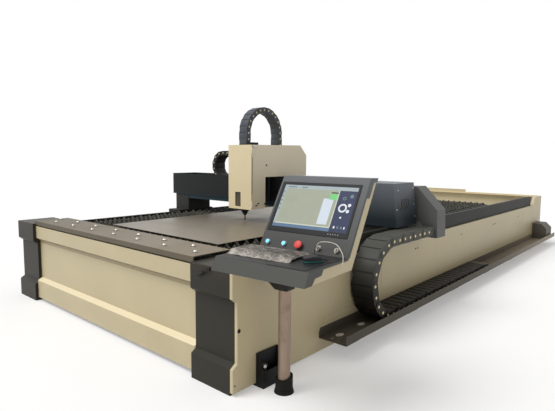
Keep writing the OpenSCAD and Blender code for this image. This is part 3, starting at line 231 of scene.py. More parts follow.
finishes = {
    "cream": paintFinish("creamPaint", tone(188, 175, 142)),
    "guardDark": paintFinish("guardDark", tone(44, 44, 42), rough=0.5, gloss=0.1),
    "frameGrey": paintFinish("frameGrey", tone(72, 72, 67), rough=0.5, gloss=0.15),
    "armGrey": paintFinish("armGrey", tone(92, 93, 91), rough=0.46, dust=0.0, gloss=0.15),
    "boxGrey": paintFinish("boxGrey", tone(92, 88, 80), rough=0.5, dust=0.0, gloss=0.12),
    # paler copy of the cream paint on the inner walls: painted light where the lamps leave them in shade
    "innerCreamLit": paintFinish("innerCreamLit", tone(214, 200, 164)),
    "bronze": paintFinish("bronzeMesh", tone(222, 184, 140), rough=0.45, dust=0.0),
    "bracketBlack": paintFinish("bracketBlack", tone(26, 27, 28), rough=0.4, dust=0.3, gloss=0.15),
    "motorBlack": paintFinish("motorBlack", tone(27, 27, 29), rough=0.46, dust=0.0, gloss=0.15),
    "headDark": paintFinish("headDark", tone(42, 44, 47), rough=0.48, dust=0.0, gloss=0.15),
    "sheetSteel": metalFinish("sheetSteel", tone(140, 130, 114), 0.4, (40.0, 0.8, 40.0), 0.16, 0.6),
    "railSteel": metalFinish("railSteel", tone(168, 165, 158), 0.25, (60.0, 1.0, 60.0)),
    "turnedSteel": metalFinish("turnedSteel", tone(190, 188, 182), 0.24, (60.0, 60.0, 1.0), 0.1),
    "ballSteel": metalFinish("ballSteel", tone(214, 208, 194), 0.3, (1.0, 1.0, 1.0), 0.2, 0.6),
    "cupSteel": metalFinish("cupSteel", tone(132, 121, 104), 0.36, (1.0, 1.0, 40.0), 0.25, 0.6),
    "carriageGrey": paintFinish("carriageGrey", tone(54, 55, 52), rough=0.5, dust=0.0, gloss=0.1),
    "skirtTeal": paintFinish("skirtTeal", tone(37, 58, 68), rough=0.45, dust=0.0, gloss=0.12),
    "fittingDull": metalFinish("fittingDull", tone(126, 120, 112), 0.42, (40.0, 1.0, 40.0), 0.3, 0.6),
    "chain": plasticFinish("chainPlastic", tone(48, 49, 50), rough=0.5, gloss=0.14),
    "chainPale": plasticFinish("chainPale", tone(80, 84, 90), rough=0.5),
    "pin": plasticFinish("pinPlastic", tone(226, 211, 164), rough=0.4, grain=900.0, depth=0.06),
    "key": plasticFinish("keyPlastic", tone(40, 41, 43), rough=0.5),
    "rubber": plasticFinish("bootRubber", tone(29, 28, 25), rough=0.62, grain=300.0, depth=0.25, gloss=0.1),
    "blackCord": plasticFinish("blackCord", tone(32, 32, 33), rough=0.5),
    "whiteCord": plasticFinish("whiteCord", tone(232, 226, 212), rough=0.45),
    "stopRed": plasticFinish("stopRed", tone(234, 92, 87), rough=0.36, grain=700.0, depth=0.05),
}


# slats: dark mill scale, paler burnt tips, rusty spatter
def slatFinish():
    f = Finish("slatSteel", Metallic=0.35, Specular_IOR_Level=0.2)
    scale = f.noise(24.0, 6.0)
    tip = f.ramp(f.axis("Z"), 0.727, 0.771) * f.ramp(f.noise(60.0, 4.0), 0.3, 0.7)
    tint = f.blendTone(f.ramp(scale, 0.35, 0.7), tone(44, 47, 45), tone(78, 80, 75))
    tint = f.blendTone(tip, tint, tone(148, 144, 132))
    tint = f.blendTone(f.ramp(f.noise(90.0, 5.0), 0.62, 0.75) * 0.5, tint, tone(104, 78, 56))
    f.feed("Base Color", tint)
    f.feed("Roughness", 0.5 + (scale - 0.5) * 0.35)
    f.relief(scale, 0.2, 0.001)
    return f


# post tube: brushed upright lines under a warm coat
def tubeFinish():
    f = Finish("tubePaint", Metallic=0.45)
    drawn = f.noise(30.0, 4.0, (40.0, 40.0, 0.6))
    wear = f.noise(8.0, 6.0)
    tint = f.blendTone(f.ramp(drawn, 0.35, 0.7), tone(140, 120, 104), tone(164, 143, 126))
    f.feed("Base Color", f.blendTone(f.ramp(wear, 0.62, 0.75) * 0.5, tint, tone(108, 90, 76)))
    f.feed("Roughness", 0.36 + (wear - 0.5) * 0.25)
    f.relief(drawn, 0.06, 0.0004)
    return f


# nozzle: black cone above a copper tip
def nozzleFinish():
    f = Finish("nozzleTwoTone", Specular_IOR_Level=0.2)
    tip = f.axis("Z") < 0.8345
    f.feed("Base Color", f.blendTone(tip, tone(26, 26, 27), tone(128, 104, 82)))
    f.feed("Metallic", tip * 0.7)
    f.feed("Roughness", 0.34 + (f.noise(120.0, 3.0) - 0.5) * 0.15)
    return f


deskLevel = 0.905


# mouse: dark shell with a teal band above its pad
def mouseFinish():
    f = Finish("mouseShell", Specular_IOR_Level=0.25)
    lift = f.axis("Z") - deskLevel
    band = (lift > 0.0055) * (lift < 0.0125)
    f.feed("Base Color", f.blendTone(band, tone(36, 36, 38), tone(38, 104, 100)))
    f.feed("Roughness", 0.34 + (f.noise(300.0, 2.0) - 0.5) * 0.2)
    f.relief(f.cells(700.0), 0.08, 0.0003)
    return f


# lit button: bright middle in a blue ring
def litFinish():
    f = Finish("litBlue", Roughness=0.2)
    glow = f.noise(160.0, 2.0)
    f.feed("Base Color", f.blendTone(glow, tone(70, 170, 205), tone(120, 205, 230)))
    f.feed("Emission Color", f.blendTone(glow, tone(60, 170, 210), tone(150, 225, 245)))
    f.shader.inputs["Emission Strength"].default_value = 0.75
    return f


# painted light and shade: paint whose tone changes between two heights, standing in for how light falls on
# the real piece
def shadedHeightFinish(name, low, high, first, second, rough):
    f = Finish(name, Specular_IOR_Level=0.14)
    cloud = f.noise(2.4, 5.0)
    speck = f.noise(paintGrain, 2.0)
    tint = f.blendTone(f.ramp(f.axis("Z"), low, high), first, second)
    tint = f.blendTone(f.ramp(cloud, 0.45, 0.8) * 0.3, tint, shade(first, 1.25))
    f.feed("Base Color", tint)
    f.feed("Roughness", rough + (cloud - 0.5) * 0.18 + (speck - 0.5) * 0.08)
    f.relief(speck, 0.2, paintRelief)
    return f


# desk: slab, top and front edge of one folded sheet, each face given its own tone as painted light and
# shade, the slab paler up its slope as a painted glare
def deskFinish():
    f = Finish("deskGrey", Specular_IOR_Level=0.18)
    speck = f.noise(620.0, 2.0)
    cloud = f.noise(3.0, 5.0)
    height = f.axis("Z")
    # painted glare: the slab turns paler and bluer towards the top of its slope
    slope = f.ramp(height, deskLevel + 0.06, deskLevel + 0.40)
    slab = f.blendTone(slope, tone(66, 66, 65), tone(92, 95, 98))
    # the flat top and the front edge below it each get their own tone: painted shade and light on faces of
    # one sheet
    tint = f.blendTone(height > deskLevel + 0.0015, tone(46, 46, 46), slab)
    tint = f.blendTone(height < deskLevel - 0.001, tint, tone(74, 74, 71))
    tint = f.blendTone(f.ramp(cloud, 0.4, 0.8) * 0.22, tint, tone(86, 85, 83))
    f.feed("Base Color", tint)
    f.feed("Roughness", 0.46 + (cloud - 0.5) * 0.2 + (speck - 0.5) * 0.1)
    f.relief(speck, 0.3, paintRelief)
    return f


# front panel: painted shade in the fold under its head, a painted highlight on the top of its plinth
def frontFinish(shadeAndHighlight):
    f = paintFinish("frontCream", tone(188, 175, 142))
    tint = f.baseTone()
    height = f.axis("Z")
    for low, high, colour, share in shadeAndHighlight:
        tint = f.blendTone((height > low) * (height < high) * share, tint, colour)
    f.feed("Base Color", tint)
    return f


# bare sheets: the left end lies darker, as the room reflects there
def spreadTone(f, low, high, left):
    tint = f.baseTone()
    tint = f.blendTone(1 - f.ramp(f.axis("X"), low, high), tint, left)
    f.feed("Base Color", tint)
    return tint


# loading plate: its folded lip is painted darker than its top, as painted shade
def plateFinish(top):
    f = metalFinish("plateSteel", tone(128, 116, 96), 0.5, (60.0, 1.0, 60.0), metal=0.3)
    tint = spreadTone(f, -1.5, 1.2, tone(90, 81, 65))
    # painted shade on the lip below the top
    f.feed("Base Color", f.blendTone((f.axis("Z") < top - 0.0025) * 0.85, tint, tone(86, 76, 60)))
    return f


# head cover: its outer side takes more of the room's light
def headFinish(side):
    f = paintFinish("headCream", tone(231, 216, 178), dust=0.0)
    tint = f.baseTone()
    f.feed("Base Color", f.blendTone((f.axis("X") > side) * 0.8, tint, tone(246, 236, 212)))
    return f


# tray: paler towards the rear, its wall cream above the sheet's edge, pale round plugs in its floor
traySpec = {"wall": 1.6425, "edge": 0.1985, "paleRear": (0.0, 3.2), "floor": 0.130,
            "plugs": [(1.720, -2.676), (1.716, -2.366), (1.717, -2.076)], "plugSize": (0.024, 0.040)}


def trayFinish(spec):
    f = paintFinish("trayGrey", tone(80, 75, 66), rough=0.5, dust=0.3, gloss=0.12)
    tint = f.baseTone()
    across, along, height = (f.axis(letter) for letter in "XYZ")
    # paler towards the rear
    tint = f.blendTone(f.ramp(along, *spec["paleRear"]) * 0.8, tint, tone(150, 138, 120))
    tint = f.blendTone((across < spec["wall"]) * (height > spec["edge"]), tint, tone(188, 175, 142))
    for x, y in spec["plugs"]:
        wide, long = spec["plugSize"]
        from0, from1 = (across - x) * (1 / wide), (along - y) * (1 / long)
        plug = from0 * from0 + from1 * from1 < 1
        tint = f.blendTone(plug * (height < spec["floor"]), tint, tone(196, 186, 176))
    f.feed("Base Color", tint)
    return f


# low, high, tone and share of each band: two bands of painted shade under the head, one band of painted
# highlight on the plinth's top
frontShadeAndHighlight = [(0.6095, 0.6365, tone(116, 102, 74), 0.75),
              (0.585, 0.6095, tone(146, 130, 98), 0.65),
              (0.2045, 0.2335, tone(236, 223, 188), 0.7)]
finishes["frontCream"] = frontFinish(frontShadeAndHighlight)
finishes["plateSteel"] = plateFinish(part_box("loading_plate")[1][2])
spreadTone(finishes["sheetSteel"], -1.5, 0.5, tone(108, 101, 90))
finishes["headCream"] = headFinish(0.2192)
finishes["trayGrey"] = trayFinish(traySpec)
# two heights, the tones at them and the roughness; the tones are painted shade low and painted light high
# on the Y chain, the posts and the end cover, and a painted teal sheen at the beam's lower edge
shadedHeightTones = {"chainLong": (0.40, 0.82, tone(30, 29, 27), tone(80, 80, 75), 0.5),
               "postDark": (0.66, 0.79, tone(47, 45, 39), tone(55, 51, 43), 0.42),
               "beamBlue": (0.966, 0.99, tone(33, 43, 48), tone(30, 33, 33), 0.42),
               "coverBlue": (0.90, 1.22, tone(34, 42, 47), tone(102, 107, 113), 0.4)}
for toneName, toneParts in shadedHeightTones.items():
    finishes[toneName] = shadedHeightFinish(toneName, *toneParts)
finishes["deskGrey"] = deskFinish()
finishes["slat"] = slatFinish()
finishes["tube"] = tubeFinish()
finishes["nozzle"] = nozzleFinish()
finishes["mouse"] = mouseFinish()
finishes["lit"] = litFinish()

nodeFinish = {
    "frontCream": ["front_panel"],
    "cream": ["right_front_panel", "right_rear_panel", "rear_pillars", "console_shell"],
    "innerCreamLit": ["left_panels", "rear_panel"],
    "headCream": ["head_cover", "head_door"],
    "postDark": ["front_posts"],
    "guardDark": ["rail_guards", "post_lever", "desk_bracket"],
    "boxGrey": ["cable_box"],
    "frameGrey": ["side_beams", "cross_tubes", "ledges"],
    "beamBlue": ["gantry_beam", "beam_channel"],
    "carriageGrey": ["carriages"],
    "coverBlue": ["end_cover"],
    "armGrey": ["chain_arm"],
    "deskGrey": ["console_fascia"],
    "trayGrey": ["chain_tray"],
    "bracketBlack": ["anchor_brackets"],
    "motorBlack": ["drive_motors", "head_motors", "cutting_head", "monitor"],
    "plateSteel": ["loading_plate"],
    "sheetSteel": ["sheet_blank"],
    "railSteel": ["rails", "beam_rails"],
    "fittingDull": ["panel_fittings"],
    "turnedSteel": ["levelling_feet", "left_pinion", "right_pinion", "x_pinion", "z_screw"],
    "ballSteel": ["balls"],
    "cupSteel": ["ball_cups"],
    "headDark": ["head_carriage", "z_slide"],
    "chain": ["y_chain", "x_chain", "z_chain"],
    "key": ["keyboard"],
    "rubber": ["tube_boot"],
    "blackCord": ["mouse_cord"],
    "whiteCord": ["white_cord"],
    "stopRed": ["stop_button"],
    "slat": ["slats", "slat_combs", "slag_pans"],
    "tube": ["support_tube"],
    "nozzle": ["nozzle"],
    "mouse": ["mouse"],
    "lit": ["left_button", "middle_button"],
}
for finishName, wearers in nodeFinish.items():
    for wearer in wearers:
        for slot in nodes[wearer].material_slots:
            slot.material = finishes[finishName].material
print("finishes on", sum(len(w) for w in nodeFinish.values()), "solids")


# a bmesh becomes an object at the origin; a piece between two bodies is given none here
def settle(bm, name, finishNames, body, smooth=40):
    mesh = bpy.data.meshes.new(name)
    bm.to_mesh(mesh)
    bm.free()
    mesh.shade_smooth()
    mesh.set_sharp_from_angle(angle=math.radians(smooth))
    for finishName in finishNames:
        mesh.materials.append(finishes[finishName].material)
    piece = bpy.data.objects.new(name, mesh)
    bpy.context.scene.collection.objects.link(piece)
    if body:
        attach(piece, body)
    return piece


def addBox(bm, low, high, bevel=0.0, material=0):
    middle = [(a + b) / 2 for a, b in zip(low, high)]
    size = [b - a for a, b in zip(low, high)]
    stand = Matrix.Translation(middle) @ Matrix.Diagonal((*size, 1))
    verts = bmesh.ops.create_cube(bm, size=1, matrix=stand)["verts"]
    for face in {f for v in verts for f in v.link_faces}:
        face.material_index = material
    if bevel:
        edges = list({e for v in verts for e in v.link_edges})
        bmesh.ops.bevel(bm, geom=edges, offset=bevel, affect="EDGES", segments=2, profile=0.5, material=-1)


# cords, on the routes of their solids
cordWidth = 0.0036
cordSpec = {
    "mouseCord": {
        "node": "mouse_cord", "slot": "black_cord", "finish": "blackCord", "far": "object", "lay": "loose",
        "route": [
            (2.0598, -3.4416, 0.9432), (2.0602, -3.4467, 0.9463), (2.0617, -3.4526, 0.9493),
            (2.0650, -3.4606, 0.9504), (2.0704, -3.4726, 0.9470), (2.0762, -3.4826, 0.9382),
            (2.0822, -3.4918, 0.9277), (2.0886, -3.4998, 0.9185), (2.0966, -3.5048, 0.9120),
            (2.1058, -3.5082, 0.9092), (2.1156, -3.5106, 0.9083), (2.1265, -3.5140, 0.9076),
            (2.1375, -3.5171, 0.9074), (2.1485, -3.5200, 0.9074), (2.1606, -3.5228, 0.9074),
            (2.1724, -3.5256, 0.9074), (2.1834, -3.5292, 0.9075), (2.1935, -3.5338, 0.9079),
            (2.2030, -3.5391, 0.9085), (2.2095, -3.5455, 0.9097), (2.2122, -3.5535, 0.9115),
            (2.2116, -3.5618, 0.9129), (2.2090, -3.5696, 0.9137), (2.2059, -3.5760, 0.9140)]},
    "whiteCord": {
        "node": "white_cord", "slot": "white_cord", "finish": "whiteCord", "far": "bare", "lay": "hanging",
        "route": [
            (2.0635, -3.4386, 0.9477), (2.0640, -3.4437, 0.9508), (2.0658, -3.4482, 0.9558),
            (2.0700, -3.4512, 0.9628), (2.0765, -3.4523, 0.9700), (2.0845, -3.4521, 0.9761),
            (2.0944, -3.4512, 0.9805), (2.1055, -3.4502, 0.9829), (2.1166, -3.4492, 0.9842),
            (2.1334, -3.4466, 0.9853), (2.1503, -3.4446, 0.9853), (2.1675, -3.4431, 0.9840),
            (2.1843, -3.4430, 0.9812), (2.2003, -3.4460, 0.9760), (2.2150, -3.4505, 0.9687),
            (2.2275, -3.4562, 0.9596), (2.2391, -3.4622, 0.9501), (2.2493, -3.4687, 0.9424),
            (2.2582, -3.4750, 0.9336), (2.2646, -3.4805, 0.9233), (2.2681, -3.4854, 0.9118),
            (2.2690, -3.4893, 0.8968), (2.2691, -3.4924, 0.8809)]},
}


def makeCord(name, spec):
    line = bpy.data.curves.new(name, "CURVE")
    line.dimensions = "3D"
    line.bevel_depth = cordWidth / 2
    line.bevel_resolution = 3
    line.use_fill_caps = True
    run = line.splines.new("POLY")
    run.points.add(len(spec["route"]) - 1)
    for point, place in zip(run.points, spec["route"]):
        point.co = (*place, 1)
    line.materials.append(finishes[spec["finish"]].material)
    piece = bpy.data.objects.new(name, line)
    bpy.context.scene.collection.objects.link(piece)
    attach(piece, "bed")
    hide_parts(spec["node"])


for cordName, cordParts in cordSpec.items():
    makeCord(cordName, cordParts)
print("cords laid")


# cable chains: two runs and a half turn, made as a fixed part, a turn and a moving part; on the real chain
# the turn moves at half the speed of the moving end
chainSpec = {
    "yChain": {"node": "y_chain", "bodies": ("bed", "gantry"), "finish": "chainLong",
               "links": 42, "pitch": 0.095, "radius": 0.305, "run": 2.28714,
               "corner": (1.7525, -2.085, 0.166),
               "high": 0.08, "wide": 0.195, "plate": 0.0045, "lid": 0.007, "pinRadius": 0.0132,
               "along": (0, 1, 0), "rise": (0, 0, 1), "across": (1, 0, 0)},
    "xChain": {"node": "x_chain", "bodies": ("gantry", "head"), "finish": "chain",
               "links": 23, "pitch": 0.075478, "radius": 0.153, "run": 0.70534,
               "corner": (-0.700, -1.5975, 1.1933),
               "high": 0.05, "wide": 0.165, "plate": 0.0035, "lid": 0.0045, "pinRadius": 0.0098,
               "along": (1, 0, 0), "rise": (0, 0, 1), "across": (0, -1, 0)},
    "zChain": {"node": "z_chain", "bodies": ("head", "lift"), "finish": "chainPale",
               "links": 18, "pitch": 0.065, "radius": 0.25, "run": 0.2007,
               "corner": (0.05, -2.027, 1.709),
               "high": 0.06, "wide": 0.115, "plate": 0.0035, "lid": 0.0045, "pinRadius": 0.0105,
               "along": (0, 0, -1), "rise": (0, 1, 0), "across": (1, 0, 0)},
}
# what all links share: play between plates, their rounding, lid lengths inside and outside, pin caps
linkSpec = {"play": 0.0003, "rounding": 0.49, "lids": ((-1, 0.86), (1, 0.985)), "lidBevel": 0.0008,
            "pinOut": 0.0007, "pinDeep": 0.0034, "pinTaper": 0.8}


def turnPoint(s, run, radius):
    if s < run:
        return Vector((run - s, 0))
    angle = (s - run) / radius
    if angle < math.pi:
        return Vector((-radius * math.sin(angle), radius - radius * math.cos(angle)))
    return Vector((s - run - math.pi * radius, 2 * radius))


def linkShape(spec, inner):
    bm = bmesh.new()
    length, high, plate, lid = (spec[k] for k in ("pitch", "high", "plate", "lid"))
    face = spec["wide"] / 2 - inner * (plate + linkSpec["play"])
    for side in (-1, 1):
        size = Matrix.Diagonal((length + high, high, plate, 1))
        place = Matrix.Translation((length / 2, 0, side * (face - plate / 2)))
        verts = bmesh.ops.create_cube(bm, size=1, matrix=place @ size)["verts"]
        edges = {e for v in verts for e in v.link_edges}
        posts = [e for e in edges if abs(e.verts[0].co.z - e.verts[1].co.z) > plate / 2]
        bmesh.ops.bevel(bm, geom=posts, offset=high * linkSpec["rounding"], affect="EDGES", segments=5,
                        profile=0.5, material=-1)
    # lids, and a barrel round each pin that closes the turn between them
    barrel = high / 2 - lid
    bmesh.ops.create_cone(bm, cap_ends=True, segments=20, radius1=barrel, radius2=barrel,
                          depth=2 * (face - plate / 2))
    for edge, share in linkSpec["lids"]:
        low = (length * (1 - share) / 2, edge * (high / 2 - lid / 2) - lid / 2, -face + plate / 2)
        addBox(bm, low, (low[0] + length * share, low[1] + lid, face - plate / 2), linkSpec["lidBevel"])
    if not inner:
        for side in (-1, 1):
            for x in (0, length):
                place = Matrix.Translation((x, 0, side * (face + linkSpec["pinOut"])))
                cap = bmesh.ops.create_cone(bm, cap_ends=True, segments=14, radius1=spec["pinRadius"],
                                            radius2=spec["pinRadius"] * linkSpec["pinTaper"],
                                            depth=linkSpec["pinDeep"],
                                            matrix=place @ Matrix.Diagonal((1, 1, side, 1)))
                for f in {f for v in cap["verts"] for f in v.link_faces}:
                    f.material_index = 1
    bmesh.ops.recalc_face_normals(bm, faces=bm.faces)
    mesh = bpy.data.meshes.new("chainLink")
    bm.to_mesh(mesh)
    bm.free()
    return mesh


def makeChain(name, spec):
    shapes = [linkShape(spec, inner) for inner in (0, 1)]
    pitch, run, radius = spec["pitch"], spec["run"], spec["radius"]
    axes = Matrix([Vector(spec[k]) for k in ("along", "rise", "across")]).transposed().to_4x4()
    stand = Matrix.Translation(spec["corner"]) @ axes
    parts = {"Fixed": bmesh.new(), "Turn": bmesh.new(), "Moving": bmesh.new()}
    for i in range(spec["links"]):
        a, b = (turnPoint((i + k) * pitch, run, radius) for k in (0, 1))
        middle = (i + 0.5) * pitch
        part = "Fixed" if middle < run else "Turn" if middle < run + math.pi * radius else "Moving"
        bm = parts[part]
        old = len(bm.verts)
        bm.from_mesh(shapes[i % 2])
        bm.verts.ensure_lookup_table()
        step = b - a
        turn = Matrix.Rotation(math.atan2(step.y, step.x), 4, "Z")
        grow = Matrix.Diagonal((step.length / pitch, 1, 1, 1))
        place = stand @ Matrix.Translation((a.x, a.y, 0)) @ turn @ grow
        bmesh.ops.transform(bm, verts=bm.verts[old:], matrix=place)
    for bm in parts.values():
        bmesh.ops.recalc_face_normals(bm, faces=bm.faces)
    ending = stand @ Vector((turnPoint(spec["links"] * pitch, run, radius).x, 0, 0))
    for part, bm in parts.items():
        piece = settle(bm, name + part, [spec["finish"], "pin"], None, 30)
        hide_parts(spec["node"])
        if name == "zChain":
            stand @ Vector((0, 2 * radius, 0))
            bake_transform(piece)
        elif part == "Turn":
            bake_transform(piece)
        elif part == "Fixed":
            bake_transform(piece)
        else:
            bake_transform(piece)


for chainName, chainParts in chainSpec.items():
    makeChain(chainName, chainParts)
print("chains linked")


# the desk stands turned on its tube; its fascia is a working plane: across, up the slope, out
deskSpec = {"tube": (1.815, -3.430, 0), "turn": 4.7, "tilt": 31.2, "left": 1.640,
            "fold": -3.461, "edge": -3.849}
deskTurn = (Matrix.Translation(deskSpec["tube"]) @ Matrix.Rotation(math.radians(deskSpec["turn"]), 4, "Z")
            @ Matrix.Translation([-c for c in deskSpec["tube"]]))
fasciaStand = (deskTurn @ Matrix.Translation((deskSpec["left"], deskSpec["fold"], deskLevel))
               @ Matrix.Rotation(math.radians(90 - deskSpec["tilt"]), 4, "X"))
deskStand = deskTurn @ Matrix.Translation((deskSpec["left"], deskSpec["edge"], deskLevel))


# screen picture: plain fields of light
def glowFinish(name, colour, strength):
    f = Finish(name, Roughness=0.3, Specular_IOR_Level=0.06)
    cloud = f.noise(18.0, 3.0)
    f.feed("Base Color", f.blendTone(cloud, shade(colour, 0.02), shade(colour, 0.04)))
    f.feed("Emission Color", f.blendTone(cloud, shade(colour, 0.88), colour))
    f.shader.inputs["Emission Strength"].default_value = strength
    return f


screenSpec = {
    "low": (0.0414, 0.1434), "size": (0.5222, 0.2912), "lift": 0.0027, "step": 0.0002, "glow": 0.95,
    "tones": {"canvas": (174, 179, 160), "bar": (176, 189, 193), "panel": (220, 230, 242),
              "navy": (64, 70, 98), "green": (132, 218, 138), "dark": (40, 48, 46), "task": (104, 128, 158),
              "white": (238, 242, 248), "line": (212, 219, 200), "icon": (120, 140, 142)},
    # tone, left, low, right, high as shares of the picture, layer
    "fields": [("canvas", 0.0, 0.075, 0.775, 0.93, 0), ("bar", 0.0, 0.915, 1.0, 1.0, 1),
               ("bar", 0.0, 0.075, 0.035, 0.93, 1), ("line", 0.035, 0.075, 0.775, 0.1, 1),
               ("panel", 0.595, 0.14, 0.725, 0.72, 1), ("green", 0.665, 0.70, 0.765, 0.83, 2),
               ("dark", 0.672, 0.845, 0.77, 0.87, 2), ("line", 0.765, 0.1, 0.778, 0.915, 2),
               ("navy", 0.778, 0.0, 1.0, 0.905, 1), ("task", 0.0, 0.0, 0.778, 0.075, 1),
               ("icon", 0.008, 0.8, 0.027, 0.84, 2), ("icon", 0.008, 0.7, 0.027, 0.74, 2),
               ("icon", 0.008, 0.6, 0.027, 0.64, 2), ("icon", 0.008, 0.5, 0.027, 0.54, 2),
               ("icon", 0.008, 0.4, 0.027, 0.44, 2), ("white", 0.82, 0.08, 0.84, 0.13, 2),
               ("icon", 0.865, 0.08, 0.885, 0.13, 2), ("icon", 0.91, 0.08, 0.93, 0.13, 2),
               ("white", 0.95, 0.08, 0.965, 0.13, 2), ("icon", 0.05, 0.94, 0.17, 0.965, 2),
               ("icon", 0.25, 0.94, 0.33, 0.965, 2)],
    # tone, share across, share up, outer and inner radius
    "rounds": [("white", 0.868, 0.53, 0.028, 0.0175), ("white", 0.945, 0.60, 0.0105, 0.0),
               ("white", 0.94, 0.465, 0.0105, 0.0), ("white", 0.875, 0.32, 0.0065, 0.0),
               ("icon", 0.86, 0.745, 0.012, 0.007), ("icon", 0.945, 0.80, 0.012, 0.0)],
    # small lamps on the lower frame
    "lamps": (0.452, 0.468, 0.484, 0.500, 0.516), "lampUp": 0.128, "lampLift": 0.0043, "lampRadius": 0.0022,
}


def makeScreen(spec):
    names = list(spec["tones"])
    for key in names:
        finishes["screen" + key] = glowFinish("screen" + key, tone(*spec["tones"][key]), spec["glow"])
    bm = bmesh.new()

    def addDisc(key, place, radius, segments):
        disc = bmesh.ops.create_circle(bm, cap_ends=True, radius=radius, segments=segments,
                                       matrix=Matrix.Translation(place))["verts"]
        disc[0].link_faces[0].material_index = names.index(key)

    wide, high = spec["size"]
    left, low = spec["low"]
    for key, x0, y0, x1, y1, layer in spec["fields"]:
        z = spec["lift"] + layer * spec["step"]
        outline = ((x0, y0), (x1, y0), (x1, y1), (x0, y1))
        corners = [bm.verts.new((left + x * wide, low + y * high, z)) for x, y in outline]
        bm.faces.new(corners).material_index = names.index(key)
    for key, x, y, outer, inner in spec["rounds"]:
        for layer, radius, fill in ((3, outer, key), (4, inner, "navy")):
            if radius:
                place = (left + x * wide, low + y * high, spec["lift"] + layer * spec["step"])
                addDisc(fill, place, radius, 32)
    for x in spec["lamps"]:
        addDisc("white", (x, spec["lampUp"], spec["lampLift"]), spec["lampRadius"], 12)
    bmesh.ops.transform(bm, verts=bm.verts, matrix=fasciaStand)
    settle(bm, "screenPicture", ["screen" + k for k in names], "bed")


makeScreen(screenSpec)
print("screen lit")


# clear film over the keyboard, crumpled where nothing holds it
filmSpec = {
    "wide": 0.434, "deep": 0.280, "corner": (0.003, 0.082), "steps": (120, 76), "slack": 1.06,
    "keys": (0.014, 0.132, 0.422, 0.290), "cover": 0.0235, "drop": 0.042, "lie": 0.0012,
    "crumple": 0.013, "sway": 0.02, "slip": 0.006, "rim": 0.05,
    # start and width of the stretch over which the crumples calm down, across and up the desk
    "calm": ((0.16, 0.12), (0.18, 0.06)),
    # share, scale and shift of each set of crumples, and how sharp they are
    "waves": ((0.65, 12, (0, 0, 0)), (0.35, 29, (3, 1, 0))), "sharp": 2.4,
}


def filmFinish():
    f = Finish("clearFilm", IOR=1.5)
    sway = f.node("ShaderNodeTexNoise", out="Color",
                  sockets={"Vector": f.place, "Scale": 17.0, "Detail": 3.0})
    bent = f.node("ShaderNodeVectorMath", settings={"operation": "MULTIPLY_ADD"},
                  sockets={0: sway, 1: (0.05, 0.05, 0.05), 2: f.place})
    edge = f.node("ShaderNodeTexVoronoi", out="Distance", settings={"feature": "DISTANCE_TO_EDGE"},
                  sockets={"Vector": bent, "Scale": 19.0})
    # painted highlights: the crease lines turn paler and more opaque
    creaseHighlight = 1 - f.ramp(edge, 0.0, 0.09)
    sheen = f.ramp(f.noise(24.0, 3.0, (0.7, 1.6, 1.0)), 0.44, 0.66)
    # painted highlight: the film grows more opaque towards its front edge
    frontHighlight = 1 - f.ramp(f.axis("Y"), -3.765, -3.69)
    f.feed("Base Color", f.blendTone(creaseHighlight * 0.4, tone(198, 189, 178), tone(248, 243, 234)))
    f.feed("Alpha", 0.15 + creaseHighlight * 0.14 + sheen * 0.2 + frontHighlight * 0.34)
    f.feed("Roughness", 0.2 + sheen * 0.15)
    f.relief(edge * 0.8 + f.noise(22.0, 3.0) * 0.5, 0.16, 0.006)
    return f


def makeFilm(spec):
    finishes["film"] = filmFinish()
    bm = bmesh.new()
    across, deep = spec["steps"]
    bmesh.ops.create_grid(bm, x_segments=across, y_segments=deep, size=0.5)
    left, front, right, back = spec["keys"]
    for v in bm.verts:
        x, y = v.co.x + 0.5, v.co.y + 0.5
        px, py = spec["corner"][0] + x * spec["wide"], spec["corner"][1] + y * spec["deep"]
        away = max(left - px, px - right, front - py, py - back, 0)
        hold = max(0, 1 - away / spec["drop"])
        onKeys = hold * hold * (3 - 2 * hold)
        spot = Vector((px, py, 0))
        warp = spot + spec["sway"] * noise.noise_vector(spot * 21)
        fold = 0
        for share, scale, shift in spec["waves"]:
            fold += share * (1 - abs(noise.noise(warp * scale + Vector(shift))) * spec["sharp"])
        calm = 1
        for place, (start, width) in zip((px, py), spec["calm"]):
            calm *= min(1, max(0, (place - start) / width))
        loose = (0.3 + 0.7 * (1 - onKeys)) * (1 - 0.75 * calm)
        rim = min(1, 0.3 + min(x, 1 - x, y, 1 - y) / spec["rim"])
        lift = spec["lie"] + onKeys * spec["cover"] + spec["crumple"] * max(0, fold) * loose * rim
        slip = spec["slip"] * noise.noise(spot * 25 + Vector((0, 7, 2)))
        v.co = deskStand @ Vector((px + slip, py + slip * 0.8, lift))
    piece = settle(bm, "keyboardFilm", ["film"], "bed", 180)


makeFilm(filmSpec)
print("film laid")


# stop button: a mushroom head on its stem, spun from a profile of radius and height
stopSpec = {"at": (0.287, 0.035), "steps": 40, "merge": 0.00002,
            "profile": [(0, -0.006), (0.0086, -0.006), (0.0086, 0.0115), (0.0180, 0.0117),
                        (0.0236, 0.0135), (0.0252, 0.0165), (0.0252, 0.0205), (0.0241, 0.0237),
                        (0.0212, 0.0259), (0.0154, 0.0276), (0.0082, 0.0285), (0, 0.0287)]}


def makeStopHead(spec):
    bm = bmesh.new()
    verts = [bm.verts.new((radius, 0, z)) for radius, z in spec["profile"]]
    edges = [bm.edges.new(pair) for pair in zip(verts, verts[1:])]
    bmesh.ops.spin(bm, geom=verts + edges, cent=(0, 0, 0), axis=(0, 0, 1), angle=2 * math.pi,
                   steps=spec["steps"], use_merge=True)
    bmesh.ops.remove_doubles(bm, verts=bm.verts, dist=spec["merge"])
    bmesh.ops.recalc_face_normals(bm, faces=bm.faces)
    bmesh.ops.transform(bm, verts=bm.verts, matrix=fasciaStand @ Matrix.Translation((*spec["at"], 0)))
    piece = settle(bm, "stopHead", ["stopRed"], "stop_push", 50)
    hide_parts("stop_button")


